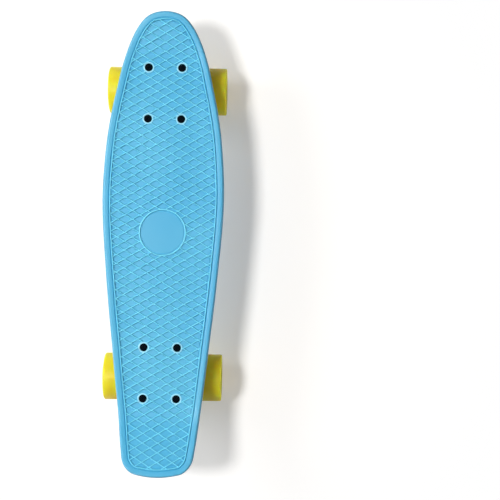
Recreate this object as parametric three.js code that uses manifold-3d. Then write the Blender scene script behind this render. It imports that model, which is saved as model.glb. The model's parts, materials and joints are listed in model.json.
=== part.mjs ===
// Cruiser skateboard: a one-piece moulded deck on two kingpin trucks with four soft wheels.
// Millimetres. +Z is up, the nose points along -Y, and z = 0 is the floor under the wheels.
// The origin lies midway between the nose and tail tips, on the floor.
import * as THREE from 'three';
import { mergeVertices } from 'three/addons/utils/BufferGeometryUtils.js';
import Module from 'manifold-3d';

const wasm = await Module();
wasm.setup();

// Overall sizes
const deckLength = 572;
const deckWidth = 151;
const wheelRadius = 30;
const wheelWidth = 46.5;
const wheelOuterSpan = 150.4;
const truckHeight = 48;

// Truck places along the deck
const noseToFrontTruck = 100.5;
const tailToRearTruck = 124.5;
const boltSpanAlong = 63.5;
const boltSpanAcross = 41.3;

// Clearances
const seatGap = 0.3;
const slipGap = 0.15;
const overrun = 2;

// Deck plan from the nose to the tail corner: distance from the nose tip as a share of the length,
// and half width as a share of half the deck's width
const planShares = [
  [0.0087, 0.272], [0.03, 0.436], [0.064, 0.576], [0.11, 0.697], [0.167, 0.795], [0.2185, 0.877],
  [0.28, 0.947], [0.408, 1], [0.58, 0.912], [0.736, 0.789], [0.846, 0.697], [0.895, 0.653],
  [0.9406, 0.608], [0.972, 0.556], [0.9904, 0.43], [0.9976, 0.225],
];

// Deck sheet and its curves
const floorThickness = 6.3;
const rimStep = 1;
const rimWidth = 9.6;
const rimWallRun = 0.9;
const edgeRound = 1.5;
const underRoundRun = 3.2;
const underRoundRise = 3.2;
const sideRise = 1.5;
const flatHalfWidth = 27;
const sideRunLeast = 25;
const flatPastPlate = 0.5;
const noseSlope = 0.2;
const noseBendRadius = 120;
const tailSlope = 0.36;
const tailBendRadius = 80;
const noseSpineInset = 58;
const tailSpineInset = 44;
const outlineSteps = 2;
const innerRingShares = [0, 0.42, 0.72];

// Deck top details
const padDiscRadius = 28.5;
const padDiscShift = 1;
const padHeight = 0.8;
const boltPadWall = 1.6;

// Deck underside ribs and panels
const ribHeight = 5;
const ribWidth = 9.5;
const ribCrownWidth = 3.5;
const ribRoot = 1.5;
const straightRibX = 24.6;
const ribToPlate = 17.75;
const curvedRibEdgeInset = 18.2;
// Curved rib: spread as a share of its widest, and place as a share of the straight rib's run
const curvedRibShares = [
  [0.489, 0.042], [0.681, 0.08], [0.873, 0.126], [0.984, 0.198], [1, 0.298], [0.97, 0.445],
  [0.918, 0.613], [0.855, 0.748], [0.759, 0.824], [0.628, 0.878], [0.489, 0.937],
];
const ribPathSteps = 14;
const ribTaper = 4;
const panelDepth = 0.8;
const panelToRib = 2.35;
const panelStartInset = 12;
const panelEndInset = 27;
const markRadius = 10.7;
const markInset = 12;
const tailPanelInsets = [55, 26];
const tailPanelWidths = [33.3, 24.2];
const tailPanelDepth = 1.2;

// Mounting bolts and their lock nuts
const boltRadius = 2.4;
const boltHeadRadius = 4.9;
const boltHeadHeight = 2.8;
const boltEndPastNut = 0.8;
const lockNutFlats = 9.5;
const lockNutHeight = 6;
const boltSegments = 12;

// Baseplate
const plateEndMargin = 5;
const plateSideMargin = 5.1;
const plateThickness = 5;
const plateCorner = 5;
const notchWidth = 24.5;
const notchDepth = 12;
const endRecessWidth = 27;
const endRecessDepth = 3.5;
const railWidth = 11;
const plateInsetDepth = 1.2;
const plateInsetLength = 42;
const kingpinBossRadius = 13;
const kingpinBossHeight = 4.5;
const pivotBossRadius = 9.8;
const pivotBossInner = 6.5;
const pivotBossOuter = 8.2;

// Kingpin and what is stacked on it
const kingpinLean = THREE.MathUtils.degToRad(8);
const kingpinInboard = 14.6;
const kingpinRadius = 4.75;
const kingpinHeadFlats = 14.3;
const kingpinHeadHeight = 4;
const kingpinHeadSink = 1.5;
const kingpinEnd = 2.5;
const washerThickness = 1.6;
const washerLip = 1.1;
const washerLipWall = 1.2;
const bottomBushingHeight = 11;
const bottomBushingRadius = 10;
const bushingBulge = 0.9;
const topBushingHeight = 8.5;
const topBushingWide = 10.2;
const topBushingNarrow = 8;
const kingpinNutFlats = 14.3;
const kingpinNutHeight = 6.5;
const stackSegments = 16;

// Hanger
const ringRadius = 14;
const ringThickness = 8.5;
const ringBoreClearance = 2.05;
const axleOutboard = 11.3;
const tubeRadius = 6;
const armThickness = 4;
const armRingDepth = 8;
const armTubeDepth = 10;
const armToBushing = 0.3;
const armTubeSpread = 17.5;
const backWallThickness = 6;
const backWallTopHalf = 5.4;
const roofThickness = 5;
const roofHalfWidth = 9;
const ringSegments = 24;

// Pivot stem and cup
const pivotOutboard = 27;
const pivotDrop = 11.5;
const stemRadius = 4.4;
const stemLength = 8.6;
const stemFlareRadius = 6.4;
const stemFlareLength = 5;
const cupWall = 1.7;
const cupRecess = 1.5;
const pivotSegments = 12;

// Axle, bearings and wheel
const axleRadius = 4;
const axleChamfer = 0.8;
const axleEndInset = 1;
const bearingRadius = 11;
const bearingWidth = 7;
const bearingSpacer = 10;
const innerRaceWall = 1.65;
const shieldGap = 0.6;
const spacerWall = 1.05;
const speedWasherThickness = 1;
const speedWasherInset = 0.3;
const axleNutFlats = 12.7;
const axleNutHeight = 7;
const hubShoulder = 1.6;
const seatDepthSpare = 0.4;
const dishRimWidth = 8;
const dishDepth = 1.4;
const lipWidth = 4.5;
const lipDrop = 4.5;
const wheelSegments = 28;
const bearingSegments = 12;
const nutBoreSegments = 6;

// Derived places
const halfLength = deckLength / 2;
const axleZ = wheelRadius;
const mountZ = axleZ + truckHeight;
const frontTruckY = noseToFrontTruck - halfLength;
const rearTruckY = halfLength - tailToRearTruck;
const plateLength = boltSpanAlong + 2 * plateEndMargin;
const plateWidth = boltSpanAcross + 2 * plateSideMargin;
const wheelX = (wheelOuterSpan - wheelWidth) / 2;
const bearingFaceX = bearingSpacer / 2 + bearingWidth;
const tubeHalf = wheelX - bearingFaceX - speedWasherThickness - 2 * seatGap;
const axleHalf = wheelOuterSpan / 2 - axleEndInset;
const armRingSpread = topBushingWide + armToBushing + armThickness / 2;
const cupMouth = pivotBossInner - cupRecess;
const innerBore = axleRadius + slipGap;
const innerRaceRadius = innerBore + innerRaceWall;
const bearingShieldRadius = innerRaceRadius + shieldGap;

// Places along the deck: the flat stretch, the ribs and the panels between them
const noseFlatEnd = noseToFrontTruck - plateLength / 2 - flatPastPlate;
const tailFlatEnd = tailToRearTruck - plateLength / 2 - flatPastPlate;
const padDiscY = (frontTruckY + rearTruckY) / 2 - padDiscShift;
const boltPadRadius = boltHeadRadius + boltPadWall;
const ribStart = frontTruckY + plateLength / 2 + ribToPlate;
const ribEnd = rearTruckY - plateLength / 2 - ribToPlate;
const curvedRibSpread = deckWidth / 2 - curvedRibEdgeInset;
const panelHalfWidth = straightRibX - ribWidth / 2 - panelToRib;
const markY = ribEnd - markInset;

// Places down the kingpin, measured from the plate's lower face
const lowerWasherStart = kingpinBossHeight + seatGap;
const bottomBushingStart = lowerWasherStart + washerThickness + seatGap;
const ringStart = bottomBushingStart + bottomBushingHeight + seatGap;
const ringCentre = ringStart + ringThickness / 2;
const topBushingStart = ringStart + ringThickness + seatGap;
const topWasherStart = topBushingStart + topBushingHeight + seatGap;
const kingpinNutStart = topWasherStart + washerThickness + seatGap;
const kingpinLength = kingpinNutStart + kingpinNutHeight + kingpinEnd;

// Truck points in the truck's own frame: Y outboard, Z up, origin on the deck's underside
const ringPoint = new THREE.Vector3(0, -kingpinInboard, -plateThickness).add(
  new THREE.Vector3(0, Math.sin(kingpinLean), -Math.cos(kingpinLean)).multiplyScalar(ringCentre),
);
const pivotPoint = new THREE.Vector3(0, pivotOutboard, -pivotDrop);
const axlePoint = new THREE.Vector3(0, axleOutboard, -truckHeight);
const steerDirection = pivotPoint.clone().sub(ringPoint).normalize();
const steerAngle = Math.atan2(steerDirection.z, steerDirection.y);

// Materials
const finishes = {
  deckBlue: { color: 0x4fb4dc, roughness: 0.32, metalness: 0 },
  wheelYellow: { color: 0xe8dc2e, roughness: 0.45, metalness: 0 },
  nickel: { color: 0xb9b09c, roughness: 0.25, metalness: 1 },
  steel: { color: 0xc9c9c6, roughness: 0.3, metalness: 1 },
  blackSteel: { color: 0x16171a, roughness: 0.4, metalness: 0.6 },
  amber: { color: 0xb59b33, roughness: 0.5, metalness: 0 },
  cupGrey: { color: 0x2b2b2d, roughness: 0.6, metalness: 0 },
};

function finish(name) {
  return new THREE.MeshStandardMaterial({ ...finishes[name], flatShading: true });
}

// Closed surfaces and solids
function signedVolume(positions, index) {
  const [a, b, c] = [new THREE.Vector3(), new THREE.Vector3(), new THREE.Vector3()];
  let sum = 0;
  for (let i = 0; i < index.length; i += 3) {
    a.fromArray(positions, 3 * index[i]);
    b.fromArray(positions, 3 * index[i + 1]);
    c.fromArray(positions, 3 * index[i + 2]);
    sum += a.dot(b.cross(c)) / 6;
  }
  return sum;
}

// Merges shared vertices, drops collapsed triangles and turns every face outward.
function closed(source) {
  const bare = source.clone();
  bare.deleteAttribute('normal');
  bare.deleteAttribute('uv');
  const merged = mergeVertices(bare);
  const positions = merged.attributes.position.array;
  const old = merged.index.array;
  const index = [];
  for (let i = 0; i < old.length; i += 3) {
    const [a, b, c] = [old[i], old[i + 1], old[i + 2]];
    if (a !== b && b !== c && c !== a) index.push(a, b, c);
  }
  if (signedVolume(positions, index) < 0) index.reverse();
  merged.setIndex(index);
  return merged;
}

function solid(geometry) {
  const whole = closed(geometry);
  return new wasm.Manifold(new wasm.Mesh({
    numProp: 3,
    vertProperties: new Float32Array(whole.attributes.position.array),
    triVerts: new Uint32Array(whole.index.array),
  }));
}

function surface(manifold) {
  const mesh = manifold.getMesh();
  const geometry = new THREE.BufferGeometry();
  geometry.setAttribute('position', new THREE.BufferAttribute(mesh.vertProperties, mesh.numProp));
  geometry.setIndex(new THREE.BufferAttribute(mesh.triVerts, 1));
  return geometry;
}

// Joins closed loops of equal count into one closed surface, with flat ends.
function loft(rings) {
  const count = rings[0].length;
  const last = (rings.length - 1) * count;
  const index = [];
  for (let start = 0; start < last; start += count) {
    for (let i = 0; i < count; i += 1) {
      const j = (i + 1) % count;
      index.push(start + i, start + j, start + count + j);
      index.push(start + i, start + count + j, start + count + i);
    }
  }
  for (let i = 1; i + 1 < count; i += 1) {
    index.push(0, i + 1, i, last, last + i, last + i + 1);
  }
  const geometry = new THREE.BufferGeometry().setFromPoints(rings.flat());
  geometry.setIndex(index);
  return geometry;
}

// A round piece about Z, with the corners of its facets at the stated radii
function turned(profile, segments) {
  const points = profile.map(([radius, height]) => new THREE.Vector2(radius, height));
  return new THREE.LatheGeometry(points, segments, Math.PI / segments).rotateX(Math.PI / 2);
}

// A round piece about Z, with the flats of its facets at the stated radii
function turnedOnFlats(profile, segments) {
  const grow = 1 / Math.cos(Math.PI / segments);
  return turned(profile.map(([radius, height]) => [radius * grow, height]), segments);
}

function rodProfile(radius, low, high) {
  return [[0, low], [radius, low], [radius, high], [0, high]];
}

function rod(radius, low, high, segments) {
  return turned(rodProfile(radius, low, high), segments);
}

function boreCutter(radius, low, high, segments) {
  return turnedOnFlats(rodProfile(radius, low, high), segments);
}

function ringProfile(inner, outer, low, high) {
  return [[inner, low], [outer, low], [outer, high], [inner, high], [inner, low]];
}

function hexShape(flats) {
  const corner = flats / Math.sqrt(3);
  const shape = new THREE.Shape();
  for (let i = 0; i < 6; i += 1) {
    const angle = (i * Math.PI) / 3;
    const [x, y] = [corner * Math.cos(angle), corner * Math.sin(angle)];
    if (i === 0) shape.moveTo(x, y);
    else shape.lineTo(x, y);
  }
  shape.closePath();
  return shape;
}

function hexNut(flats, height, boreRadius) {
  const shape = hexShape(flats);
  const bore = new THREE.Path();
  bore.absarc(0, 0, boreRadius, 0, 2 * Math.PI, true);
  shape.holes.push(bore);
  return new THREE.ExtrudeGeometry(shape, {
    depth: height, bevelEnabled: false, curveSegments: nutBoreSegments,
  });
}

function box(width, length, height) {
  return new THREE.BoxGeometry(width, length, height);
}

function addPiece(parent, name, geometry, finishName) {
  const mesh = new THREE.Mesh(closed(geometry), finish(finishName));
  mesh.name = name;
  parent.add(mesh);
  return mesh;
}

// Deck shape
const outlinePoints = 2 * outlineSteps * (planShares.length + 1);
const planPoints = [[0, 0], ...planShares, [1, 0]].map(
  ([along, half]) => new THREE.Vector3((half * deckWidth) / 2, along * deckLength - halfLength, 0),
);

function planCurve() {
  const mirrored = planPoints.slice(1, -1).reverse().map((p) => new THREE.Vector3(-p.x, p.y, 0));
  return new THREE.CatmullRomCurve3([...planPoints, ...mirrored], true, 'centripetal');
}

// One side is sampled and the other is its mirror image.
function planOutline() {
  const samples = planCurve().getPoints(outlinePoints).slice(0, outlinePoints / 2 + 1);
  samples[0].x = 0;
  samples[outlinePoints / 2].x = 0;
  const mirrored = samples.slice(1, -1).reverse().map((p) => new THREE.Vector3(-p.x, p.y, 0));
  return [...samples, ...mirrored];
}

const outline = planOutline();

function halfWidthAt(y) {
  const side = outline.slice(0, outlinePoints / 2 + 1);
  const next = side.findIndex((p) => p.y >= y);
  if (next <= 0) return side[next < 0 ? side.length - 1 : 0].x;
  const share = (y - side[next - 1].y) / (side[next].y - side[next - 1].y);
  return THREE.MathUtils.lerp(side[next - 1].x, side[next].x, share);
}

// A flat run, then a round bend into a straight slope.
function bendRise(distance, slope, radius) {
  const bendRun = slope * radius;
  if (distance <= 0) return 0;
  if (distance < bendRun) return distance ** 2 / (2 * radius);
  return bendRun ** 2 / (2 * radius) + slope * (distance - bendRun);
}

// Height of the deck sheet over its flat middle
function deckRise(x, y) {
  const nose = bendRise(noseFlatEnd - (y + halfLength), noseSlope, noseBendRadius);
  const tail = bendRise(tailFlatEnd - (halfLength - y), tailSlope, tailBendRadius);
  const run = Math.max(halfWidthAt(y) - flatHalfWidth, sideRunLeast);
  const side = Math.max(Math.abs(x) - flatHalfWidth, 0) / run;
  return nose + tail + sideRise * side ** 2;
}

function insetRing(inset) {
  return outline.map((point, i) => {
    const before = outline[(i + outlinePoints - 1) % outlinePoints];
    const after = outline[(i + 1) % outlinePoints];
    const along = after.clone().sub(before).normalize();
    return new THREE.Vector3(point.x - along.y * inset, point.y + along.x * inset, 0);
  });
}

function innerRing(edge, share) {
  const spineStart = noseSpineInset - halfLength;
  const spineEnd = halfLength - tailSpineInset;
  return edge.map((point) => {
    const spine = new THREE.Vector3(0, THREE.MathUtils.clamp(point.y, spineStart, spineEnd), 0);
    return spine.lerp(point, share);
  });
}

function atHeight(ring, height) {
  return ring.map((p) => new THREE.Vector3(p.x, p.y, mountZ + height + deckRise(p.x, p.y)));
}

function deckSheet() {
  const floorTop = floorThickness;
  const rimTop = floorThickness + rimStep;
  const floorEdge = insetRing(rimWidth + rimWallRun);
  const underEdge = insetRing(underRoundRun);
  const rings = innerRingShares.map((share) => atHeight(innerRing(floorEdge, share), floorTop));
  rings.push(atHeight(floorEdge, floorTop));
  rings.push(atHeight(insetRing(rimWidth), rimTop));
  rings.push(atHeight(insetRing(edgeRound), rimTop));
  rings.push(atHeight(outline, rimTop - edgeRound));
  rings.push(atHeight(outline, underRoundRise));
  rings.push(atHeight(underEdge, 0));
  for (const share of [...innerRingShares].reverse()) {
    rings.push(atHeight(innerRing(underEdge, share), 0));
  }
  return solid(loft(rings));
}

// A rib under the deck: its path is in plan, and its foot is sunk into the sheet.
function underRib(path) {
  const halfFoot = ribWidth / 2;
  const halfCrown = ribCrownWidth / 2;
  const rings = path.map((point, i) => {
    const before = path[Math.max(i - 1, 0)];
    const after = path[Math.min(i + 1, path.length - 1)];
    const along = after.clone().sub(before).normalize();
    const atEnd = i === 0 || i === path.length - 1;
    const crown = atEnd ? ribRoot / 2 : -ribHeight;
    const section = [[halfFoot, ribRoot], [halfCrown, crown], [-halfCrown, crown], [-halfFoot, ribRoot]];
    return section.map(([across, up]) => {
      const x = point.x + along.y * across;
      const y = point.y - along.x * across;
      return new THREE.Vector3(x, y, mountZ + up + deckRise(x, y));
    });
  });
  return solid(loft(rings));
}

function straightRib(side) {
  const places = [ribStart, ribStart + ribTaper, ribEnd - ribTaper, ribEnd];
  return underRib(places.map((y) => new THREE.Vector3(side * straightRibX, y, 0)));
}

function curvedRib(side) {
  const control = curvedRibShares.map(([spread, along]) => new THREE.Vector3(
    side * curvedRibSpread * spread, THREE.MathUtils.lerp(ribStart, ribEnd, along), 0,
  ));
  return underRib(new THREE.CatmullRomCurve3(control).getSpacedPoints(ribPathSteps));
}

function boltPlaces() {
  const places = [];
  for (const [truck, truckY] of [['front', frontTruckY], ['rear', rearTruckY]]) {
    for (const [end, alongSide] of [['nose', -1], ['tail', 1]]) {
      for (const [side, acrossSide] of [['left', -1], ['right', 1]]) {
        const x = (acrossSide * boltSpanAcross) / 2;
        const y = truckY + (alongSide * boltSpanAlong) / 2;
        places.push({ name: `${truck}_${end}_${side}`, x, y });
      }
    }
  }
  return places;
}

const boltPadTop = mountZ + floorThickness + padHeight;
const boltHeadTop = boltPadTop - seatGap;

function boltHole() {
  const holeRadius = boltRadius + seatGap;
  const mouthRadius = boltHeadRadius + seatGap;
  return turnedOnFlats([
    [0, mountZ - overrun], [holeRadius, mountZ - overrun], [holeRadius, boltHeadTop - boltHeadHeight],
    [mouthRadius, boltHeadTop], [mouthRadius, boltPadTop + overrun], [0, boltPadTop + overrun],
  ], boltSegments);
}

function panelCutter() {
  const [start, end] = [ribStart + panelStartInset, ribEnd - panelEndInset];
  const plate = box(2 * panelHalfWidth, end - start, panelDepth + overrun);
  return solid(plate.translate(0, (start + end) / 2, mountZ + (panelDepth - overrun) / 2));
}

function tailPanelCutter() {
  const rings = tailPanelInsets.map((inset, i) => {
    const y = halfLength - inset;
    const half = tailPanelWidths[i] / 2;
    const low = mountZ - overrun + deckRise(0, y);
    const high = mountZ + tailPanelDepth + deckRise(0, y);
    const corners = [[-half, low], [half, low], [half, high], [-half, high]];
    return corners.map(([x, z]) => new THREE.Vector3(x, y, z));
  });
  return solid(loft(rings));
}

function markCutter() {
  return solid(rod(markRadius, mountZ - overrun, mountZ + panelDepth, stackSegments).translate(0, markY, 0));
}

function makeDeck(parent) {
  let deck = deckSheet();
  const padRoot = mountZ + floorThickness / 2;
  const disc = rod(padDiscRadius, padRoot, boltPadTop, 2 * stackSegments);
  deck = deck.add(solid(disc.translate(0, padDiscY, 0)));
  for (const { x, y } of boltPlaces()) {
    const pad = rod(boltPadRadius, padRoot, boltPadTop, stackSegments);
    deck = deck.add(solid(pad.translate(x, y, 0)));
  }
  for (const side of [-1, 1]) {
    deck = deck.add(straightRib(side)).add(curvedRib(side));
  }
  for (const { x, y } of boltPlaces()) {
    deck = deck.subtract(solid(boltHole().translate(x, y, 0)));
  }
  deck = deck.subtract(panelCutter()).subtract(tailPanelCutter()).subtract(markCutter());
  addPiece(parent, 'deck', surface(deck), 'deckBlue');
}

// Fasteners through the deck
function makeDeckFasteners(parent) {
  const nutTop = mountZ - plateThickness - 2 * seatGap;
  const boltEnd = nutTop - lockNutHeight - boltEndPastNut;
  for (const { name, x, y } of boltPlaces()) {
    const bolt = turned([
      [0, boltEnd], [boltRadius, boltEnd], [boltRadius, boltHeadTop - boltHeadHeight],
      [boltHeadRadius, boltHeadTop], [0, boltHeadTop],
    ], boltSegments);
    const nut = hexNut(lockNutFlats, lockNutHeight, boltRadius + seatGap);
    addPiece(parent, `bolt_${name}`, bolt.translate(x, y, 0), 'blackSteel');
    addPiece(parent, `lock_nut_${name}`, nut.translate(x, y, nutTop - lockNutHeight), 'steel');
  }
}

// Baseplate
function plateShape() {
  const [halfWidth, halfAlong] = [plateWidth / 2, plateLength / 2];
  const [halfNotch, halfRecess] = [notchWidth / 2, endRecessWidth / 2];
  const corner = plateCorner;
  const shape = new THREE.Shape();
  shape.moveTo(-halfWidth + corner, -halfAlong);
  shape.lineTo(-halfNotch, -halfAlong);
  shape.lineTo(-halfNotch, -halfAlong + notchDepth);
  shape.lineTo(halfNotch, -halfAlong + notchDepth);
  shape.lineTo(halfNotch, -halfAlong);
  shape.lineTo(halfWidth - corner, -halfAlong);
  shape.absarc(halfWidth - corner, -halfAlong + corner, corner, -Math.PI / 2, 0);
  shape.absarc(halfWidth - corner, halfAlong - corner, corner, 0, Math.PI / 2);
  shape.lineTo(halfRecess, halfAlong);
  shape.lineTo(halfRecess, halfAlong - endRecessDepth);
  shape.lineTo(-halfRecess, halfAlong - endRecessDepth);
  shape.lineTo(-halfRecess, halfAlong);
  shape.absarc(-halfWidth + corner, halfAlong - corner, corner, Math.PI / 2, Math.PI);
  shape.absarc(-halfWidth + corner, -halfAlong + corner, corner, Math.PI, 1.5 * Math.PI);
  for (const x of [-boltSpanAcross / 2, boltSpanAcross / 2]) {
    for (const y of [-boltSpanAlong / 2, boltSpanAlong / 2]) {
      const hole = new THREE.Path();
      hole.absarc(x, y, boltRadius + seatGap, 0, 2 * Math.PI, true);
      shape.holes.push(hole);
    }
  }
  return shape;
}

// Places a piece made about Z, with its zero on the plate's lower face, onto the kingpin's line
function alongKingpin(geometry) {
  return geometry.rotateX(kingpinLean).translate(0, -kingpinInboard, -plateThickness);
}

// Places a piece made about Z, with its zero at the pivot's ball centre, onto the steering axis
function alongSteer(geometry) {
  return geometry.rotateX(steerAngle - Math.PI / 2).translate(...pivotPoint.toArray());
}

function hexPrism(flats, height) {
  return new THREE.ExtrudeGeometry(hexShape(flats), { depth: height, bevelEnabled: false });
}

function makeBaseplate(parent, name) {
  const topZ = -seatGap;
  const extent = plateLength + plateWidth;
  const plate = new THREE.ExtrudeGeometry(plateShape(), {
    depth: plateThickness - seatGap, bevelEnabled: false, curveSegments: 4,
  }).translate(0, 0, -plateThickness);
  let body = solid(plate);
  const inset = box(plateWidth - 2 * railWidth, plateInsetLength, plateInsetDepth + overrun);
  inset.translate(0, 0, -plateThickness + (plateInsetDepth - overrun) / 2);
  body = body.subtract(solid(inset));
  const boss = rod(kingpinBossRadius, -kingpinBossHeight, plateThickness / 2, ringSegments);
  const pivotBoss = rod(pivotBossRadius, -pivotBossInner, pivotBossOuter, stackSegments);
  body = body.add(solid(alongKingpin(boss))).add(solid(alongSteer(pivotBoss)));
  const deckSide = box(extent, extent, extent).translate(0, 0, topZ + extent / 2);
  body = body.subtract(solid(deckSide));
  const bore = boreCutter(
    kingpinRadius + seatGap, -kingpinBossHeight - overrun, plateThickness, stackSegments,
  );
  body = body.subtract(solid(alongKingpin(bore)));
  const headLow = plateThickness - kingpinHeadSink - kingpinHeadHeight - seatGap;
  const headPocket = hexPrism(kingpinHeadFlats + 2 * seatGap, plateThickness + overrun - headLow);
  body = body.subtract(solid(alongKingpin(headPocket.translate(0, 0, headLow))));
  const cupSeat = stemRadius + slipGap + cupWall + seatGap;
  const cupBore = boreCutter(cupSeat, -pivotBossInner - overrun, cupSeat, pivotSegments);
  body = body.subtract(solid(alongSteer(cupBore)));
  addPiece(parent, `${name}_baseplate`, surface(body), 'nickel');
}

// Kingpin stack, each piece about Z with its own start below the plate's lower face
function makeKingpinStack(parent, name) {
  const stack = new THREE.Group();
  stack.position.set(0, -kingpinInboard, -plateThickness);
  stack.rotation.x = kingpinLean;
  parent.add(stack);
  const headTop = plateThickness - kingpinHeadSink;
  const shank = rod(kingpinRadius, -kingpinLength, headTop - kingpinHeadHeight / 2, stackSegments);
  const head = hexPrism(kingpinHeadFlats, kingpinHeadHeight).translate(0, 0, headTop - kingpinHeadHeight);
  addPiece(stack, `${name}_kingpin`, surface(solid(shank).add(solid(head))), 'steel');
  const bore = kingpinRadius + seatGap;
  const washer = (start, radius, faceSign) => {
    const middle = -start - washerThickness / 2;
    const half = (faceSign * washerThickness) / 2;
    const lip = radius + washerLipWall;
    return turned([
      [bore, middle - half], [lip, middle - half], [lip, middle + half + faceSign * washerLip],
      [radius, middle + half + faceSign * washerLip], [radius, middle + half], [bore, middle + half],
      [bore, middle - half],
    ], stackSegments);
  };
  const lowerCup = bottomBushingRadius + seatGap;
  const upperCup = topBushingNarrow + seatGap;
  addPiece(stack, `${name}_bottom_washer`, washer(lowerWasherStart, lowerCup, -1), 'nickel');
  addPiece(stack, `${name}_top_washer`, washer(topWasherStart, upperCup, 1), 'nickel');
  const bottomLow = -bottomBushingStart - bottomBushingHeight;
  const bottomMiddle = bottomLow + bottomBushingHeight / 2;
  const bottom = turned([
    [bore, bottomLow], [bottomBushingRadius, bottomLow], [bottomBushingRadius + bushingBulge, bottomMiddle],
    [bottomBushingRadius, -bottomBushingStart], [bore, -bottomBushingStart], [bore, bottomLow],
  ], stackSegments);
  addPiece(stack, `${name}_bottom_bushing`, bottom, 'amber');
  const topLow = -topBushingStart - topBushingHeight;
  const top = turned([
    [bore, topLow], [topBushingNarrow, topLow], [topBushingWide, -topBushingStart],
    [bore, -topBushingStart], [bore, topLow],
  ], stackSegments);
  addPiece(stack, `${name}_top_bushing`, top, 'amber');
  const nut = hexNut(kingpinNutFlats, kingpinNutHeight, bore);
  nut.translate(0, 0, -kingpinNutStart - kingpinNutHeight);
  addPiece(stack, `${name}_kingpin_nut`, nut, 'steel');
}

// Hanger: ring, arms, back wall, roof, pivot stem and axle tube
function crossSection(x, halfX, centre, across, depth) {
  const low = centre.clone().addScaledVector(across, -depth / 2);
  const high = centre.clone().addScaledVector(across, depth / 2);
  return [
    new THREE.Vector3(x - halfX, low.y, low.z), new THREE.Vector3(x + halfX, low.y, low.z),
    new THREE.Vector3(x + halfX, high.y, high.z), new THREE.Vector3(x - halfX, high.y, high.z),
  ];
}

function beam(from, to, fromX, toX, fromHalf, toHalf, fromDepth, toDepth) {
  const run = to.clone().sub(from).normalize();
  const across = new THREE.Vector3(0, -run.z, run.y);
  return solid(loft([
    crossSection(fromX, fromHalf, from, across, fromDepth),
    crossSection(toX, toHalf, to, across, toDepth),
  ]));
}

function alongRing(geometry) {
  return geometry.rotateX(kingpinLean).translate(...ringPoint.toArray());
}

function steerPoint(distance) {
  return pivotPoint.clone().addScaledVector(steerDirection, distance);
}

function hangerStem() {
  const steps = 3;
  const profile = [[0, -stemLength - stemFlareLength], [stemFlareRadius, -stemLength - stemFlareLength]];
  profile.push([stemRadius, -stemLength]);
  for (let i = 0; i <= steps; i += 1) {
    const angle = (i * Math.PI) / (2 * steps);
    profile.push([stemRadius * Math.cos(angle), stemRadius * Math.sin(angle)]);
  }
  return solid(alongSteer(turned(profile, pivotSegments)));
}

function makeHanger(parent, name) {
  const ringHalf = ringThickness / 2;
  const ring = rod(ringRadius, -ringHalf, ringHalf, ringSegments);
  const tube = rod(tubeRadius, -tubeHalf, tubeHalf, stackSegments).rotateY(Math.PI / 2);
  let body = solid(alongRing(ring)).add(solid(tube.translate(...axlePoint.toArray())));
  const armStart = ringPoint.clone().add(new THREE.Vector3(0, ringHalf, 0));
  for (const side of [-1, 1]) {
    const halfArm = armThickness / 2;
    body = body.add(beam(
      armStart, axlePoint, side * armRingSpread, side * armTubeSpread, halfArm, halfArm,
      armRingDepth, armTubeDepth,
    ));
  }
  const stemBase = steerPoint(-stemLength - stemFlareLength / 2);
  const wallTop = steerPoint(-stemLength - stemFlareLength - backWallThickness / 2);
  body = body.add(beam(
    axlePoint, wallTop, 0, 0, armTubeSpread, backWallTopHalf, backWallThickness, backWallThickness,
  ));
  const roofStart = ringPoint.clone().add(
    new THREE.Vector3(0, bottomBushingRadius + bushingBulge, (ringThickness - roofThickness) / 2),
  );
  body = body.add(beam(
    roofStart, stemBase, 0, 0, roofHalfWidth, backWallTopHalf, roofThickness, roofThickness,
  ));
  body = body.add(hangerStem());
  const ringBore = boreCutter(kingpinRadius + ringBoreClearance, -ringRadius, ringRadius, stackSegments);
  const axleBore = boreCutter(innerBore, -tubeHalf - overrun, tubeHalf + overrun, bearingSegments);
  body = body.subtract(solid(alongRing(ringBore)));
  body = body.subtract(solid(axleBore.rotateY(Math.PI / 2).translate(...axlePoint.toArray())));
  addPiece(parent, `${name}_hanger`, surface(body), 'nickel');
}

function makePivotCup(parent, name) {
  const inner = stemRadius + slipGap;
  const outer = inner + cupWall;
  const steps = 3;
  const profile = [[inner, -cupMouth], [outer, -cupMouth], [outer, outer], [0, outer]];
  for (let i = steps; i >= 0; i -= 1) {
    const angle = (i * Math.PI) / (2 * steps);
    profile.push([inner * Math.cos(angle), inner * Math.sin(angle)]);
  }
  profile.push([inner, -cupMouth]);
  addPiece(parent, `${name}_pivot_cup`, alongSteer(turned(profile, pivotSegments)), 'cupGrey');
}

function makeAxle(parent, name) {
  const tip = axleRadius - axleChamfer;
  const axle = turned([
    [0, -axleHalf], [tip, -axleHalf], [axleRadius, -axleHalf + axleChamfer],
    [axleRadius, axleHalf - axleChamfer], [tip, axleHalf], [0, axleHalf],
  ], bearingSegments);
  addPiece(parent, `${name}_axle`, axle.rotateY(Math.PI / 2).translate(...axlePoint.toArray()), 'steel');
}

// Wheel set: the tyre, its two bearings, the clamped inner stack and the axle nut
function wheelProfile() {
  const half = wheelWidth / 2;
  const seatEdge = bearingFaceX + seatDepthSpare;
  const shoulder = bearingSpacer / 2 - seatGap;
  const seat = bearingRadius + slipGap;
  const hubWall = bearingRadius - hubShoulder;
  const lipMiddle = Math.SQRT1_2;
  const side = [
    [hubWall, shoulder], [seat, shoulder], [seat, seatEdge], [wheelRadius - dishRimWidth, half - dishDepth],
    [wheelRadius - lipWidth, half],
    [wheelRadius - lipWidth * (1 - lipMiddle), half - lipDrop * (1 - lipMiddle)],
    [wheelRadius, half - lipDrop],
  ];
  const far = [...side].reverse().map(([radius, along]) => [radius, -along]);
  return [...side, ...far, side[0]];
}

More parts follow.
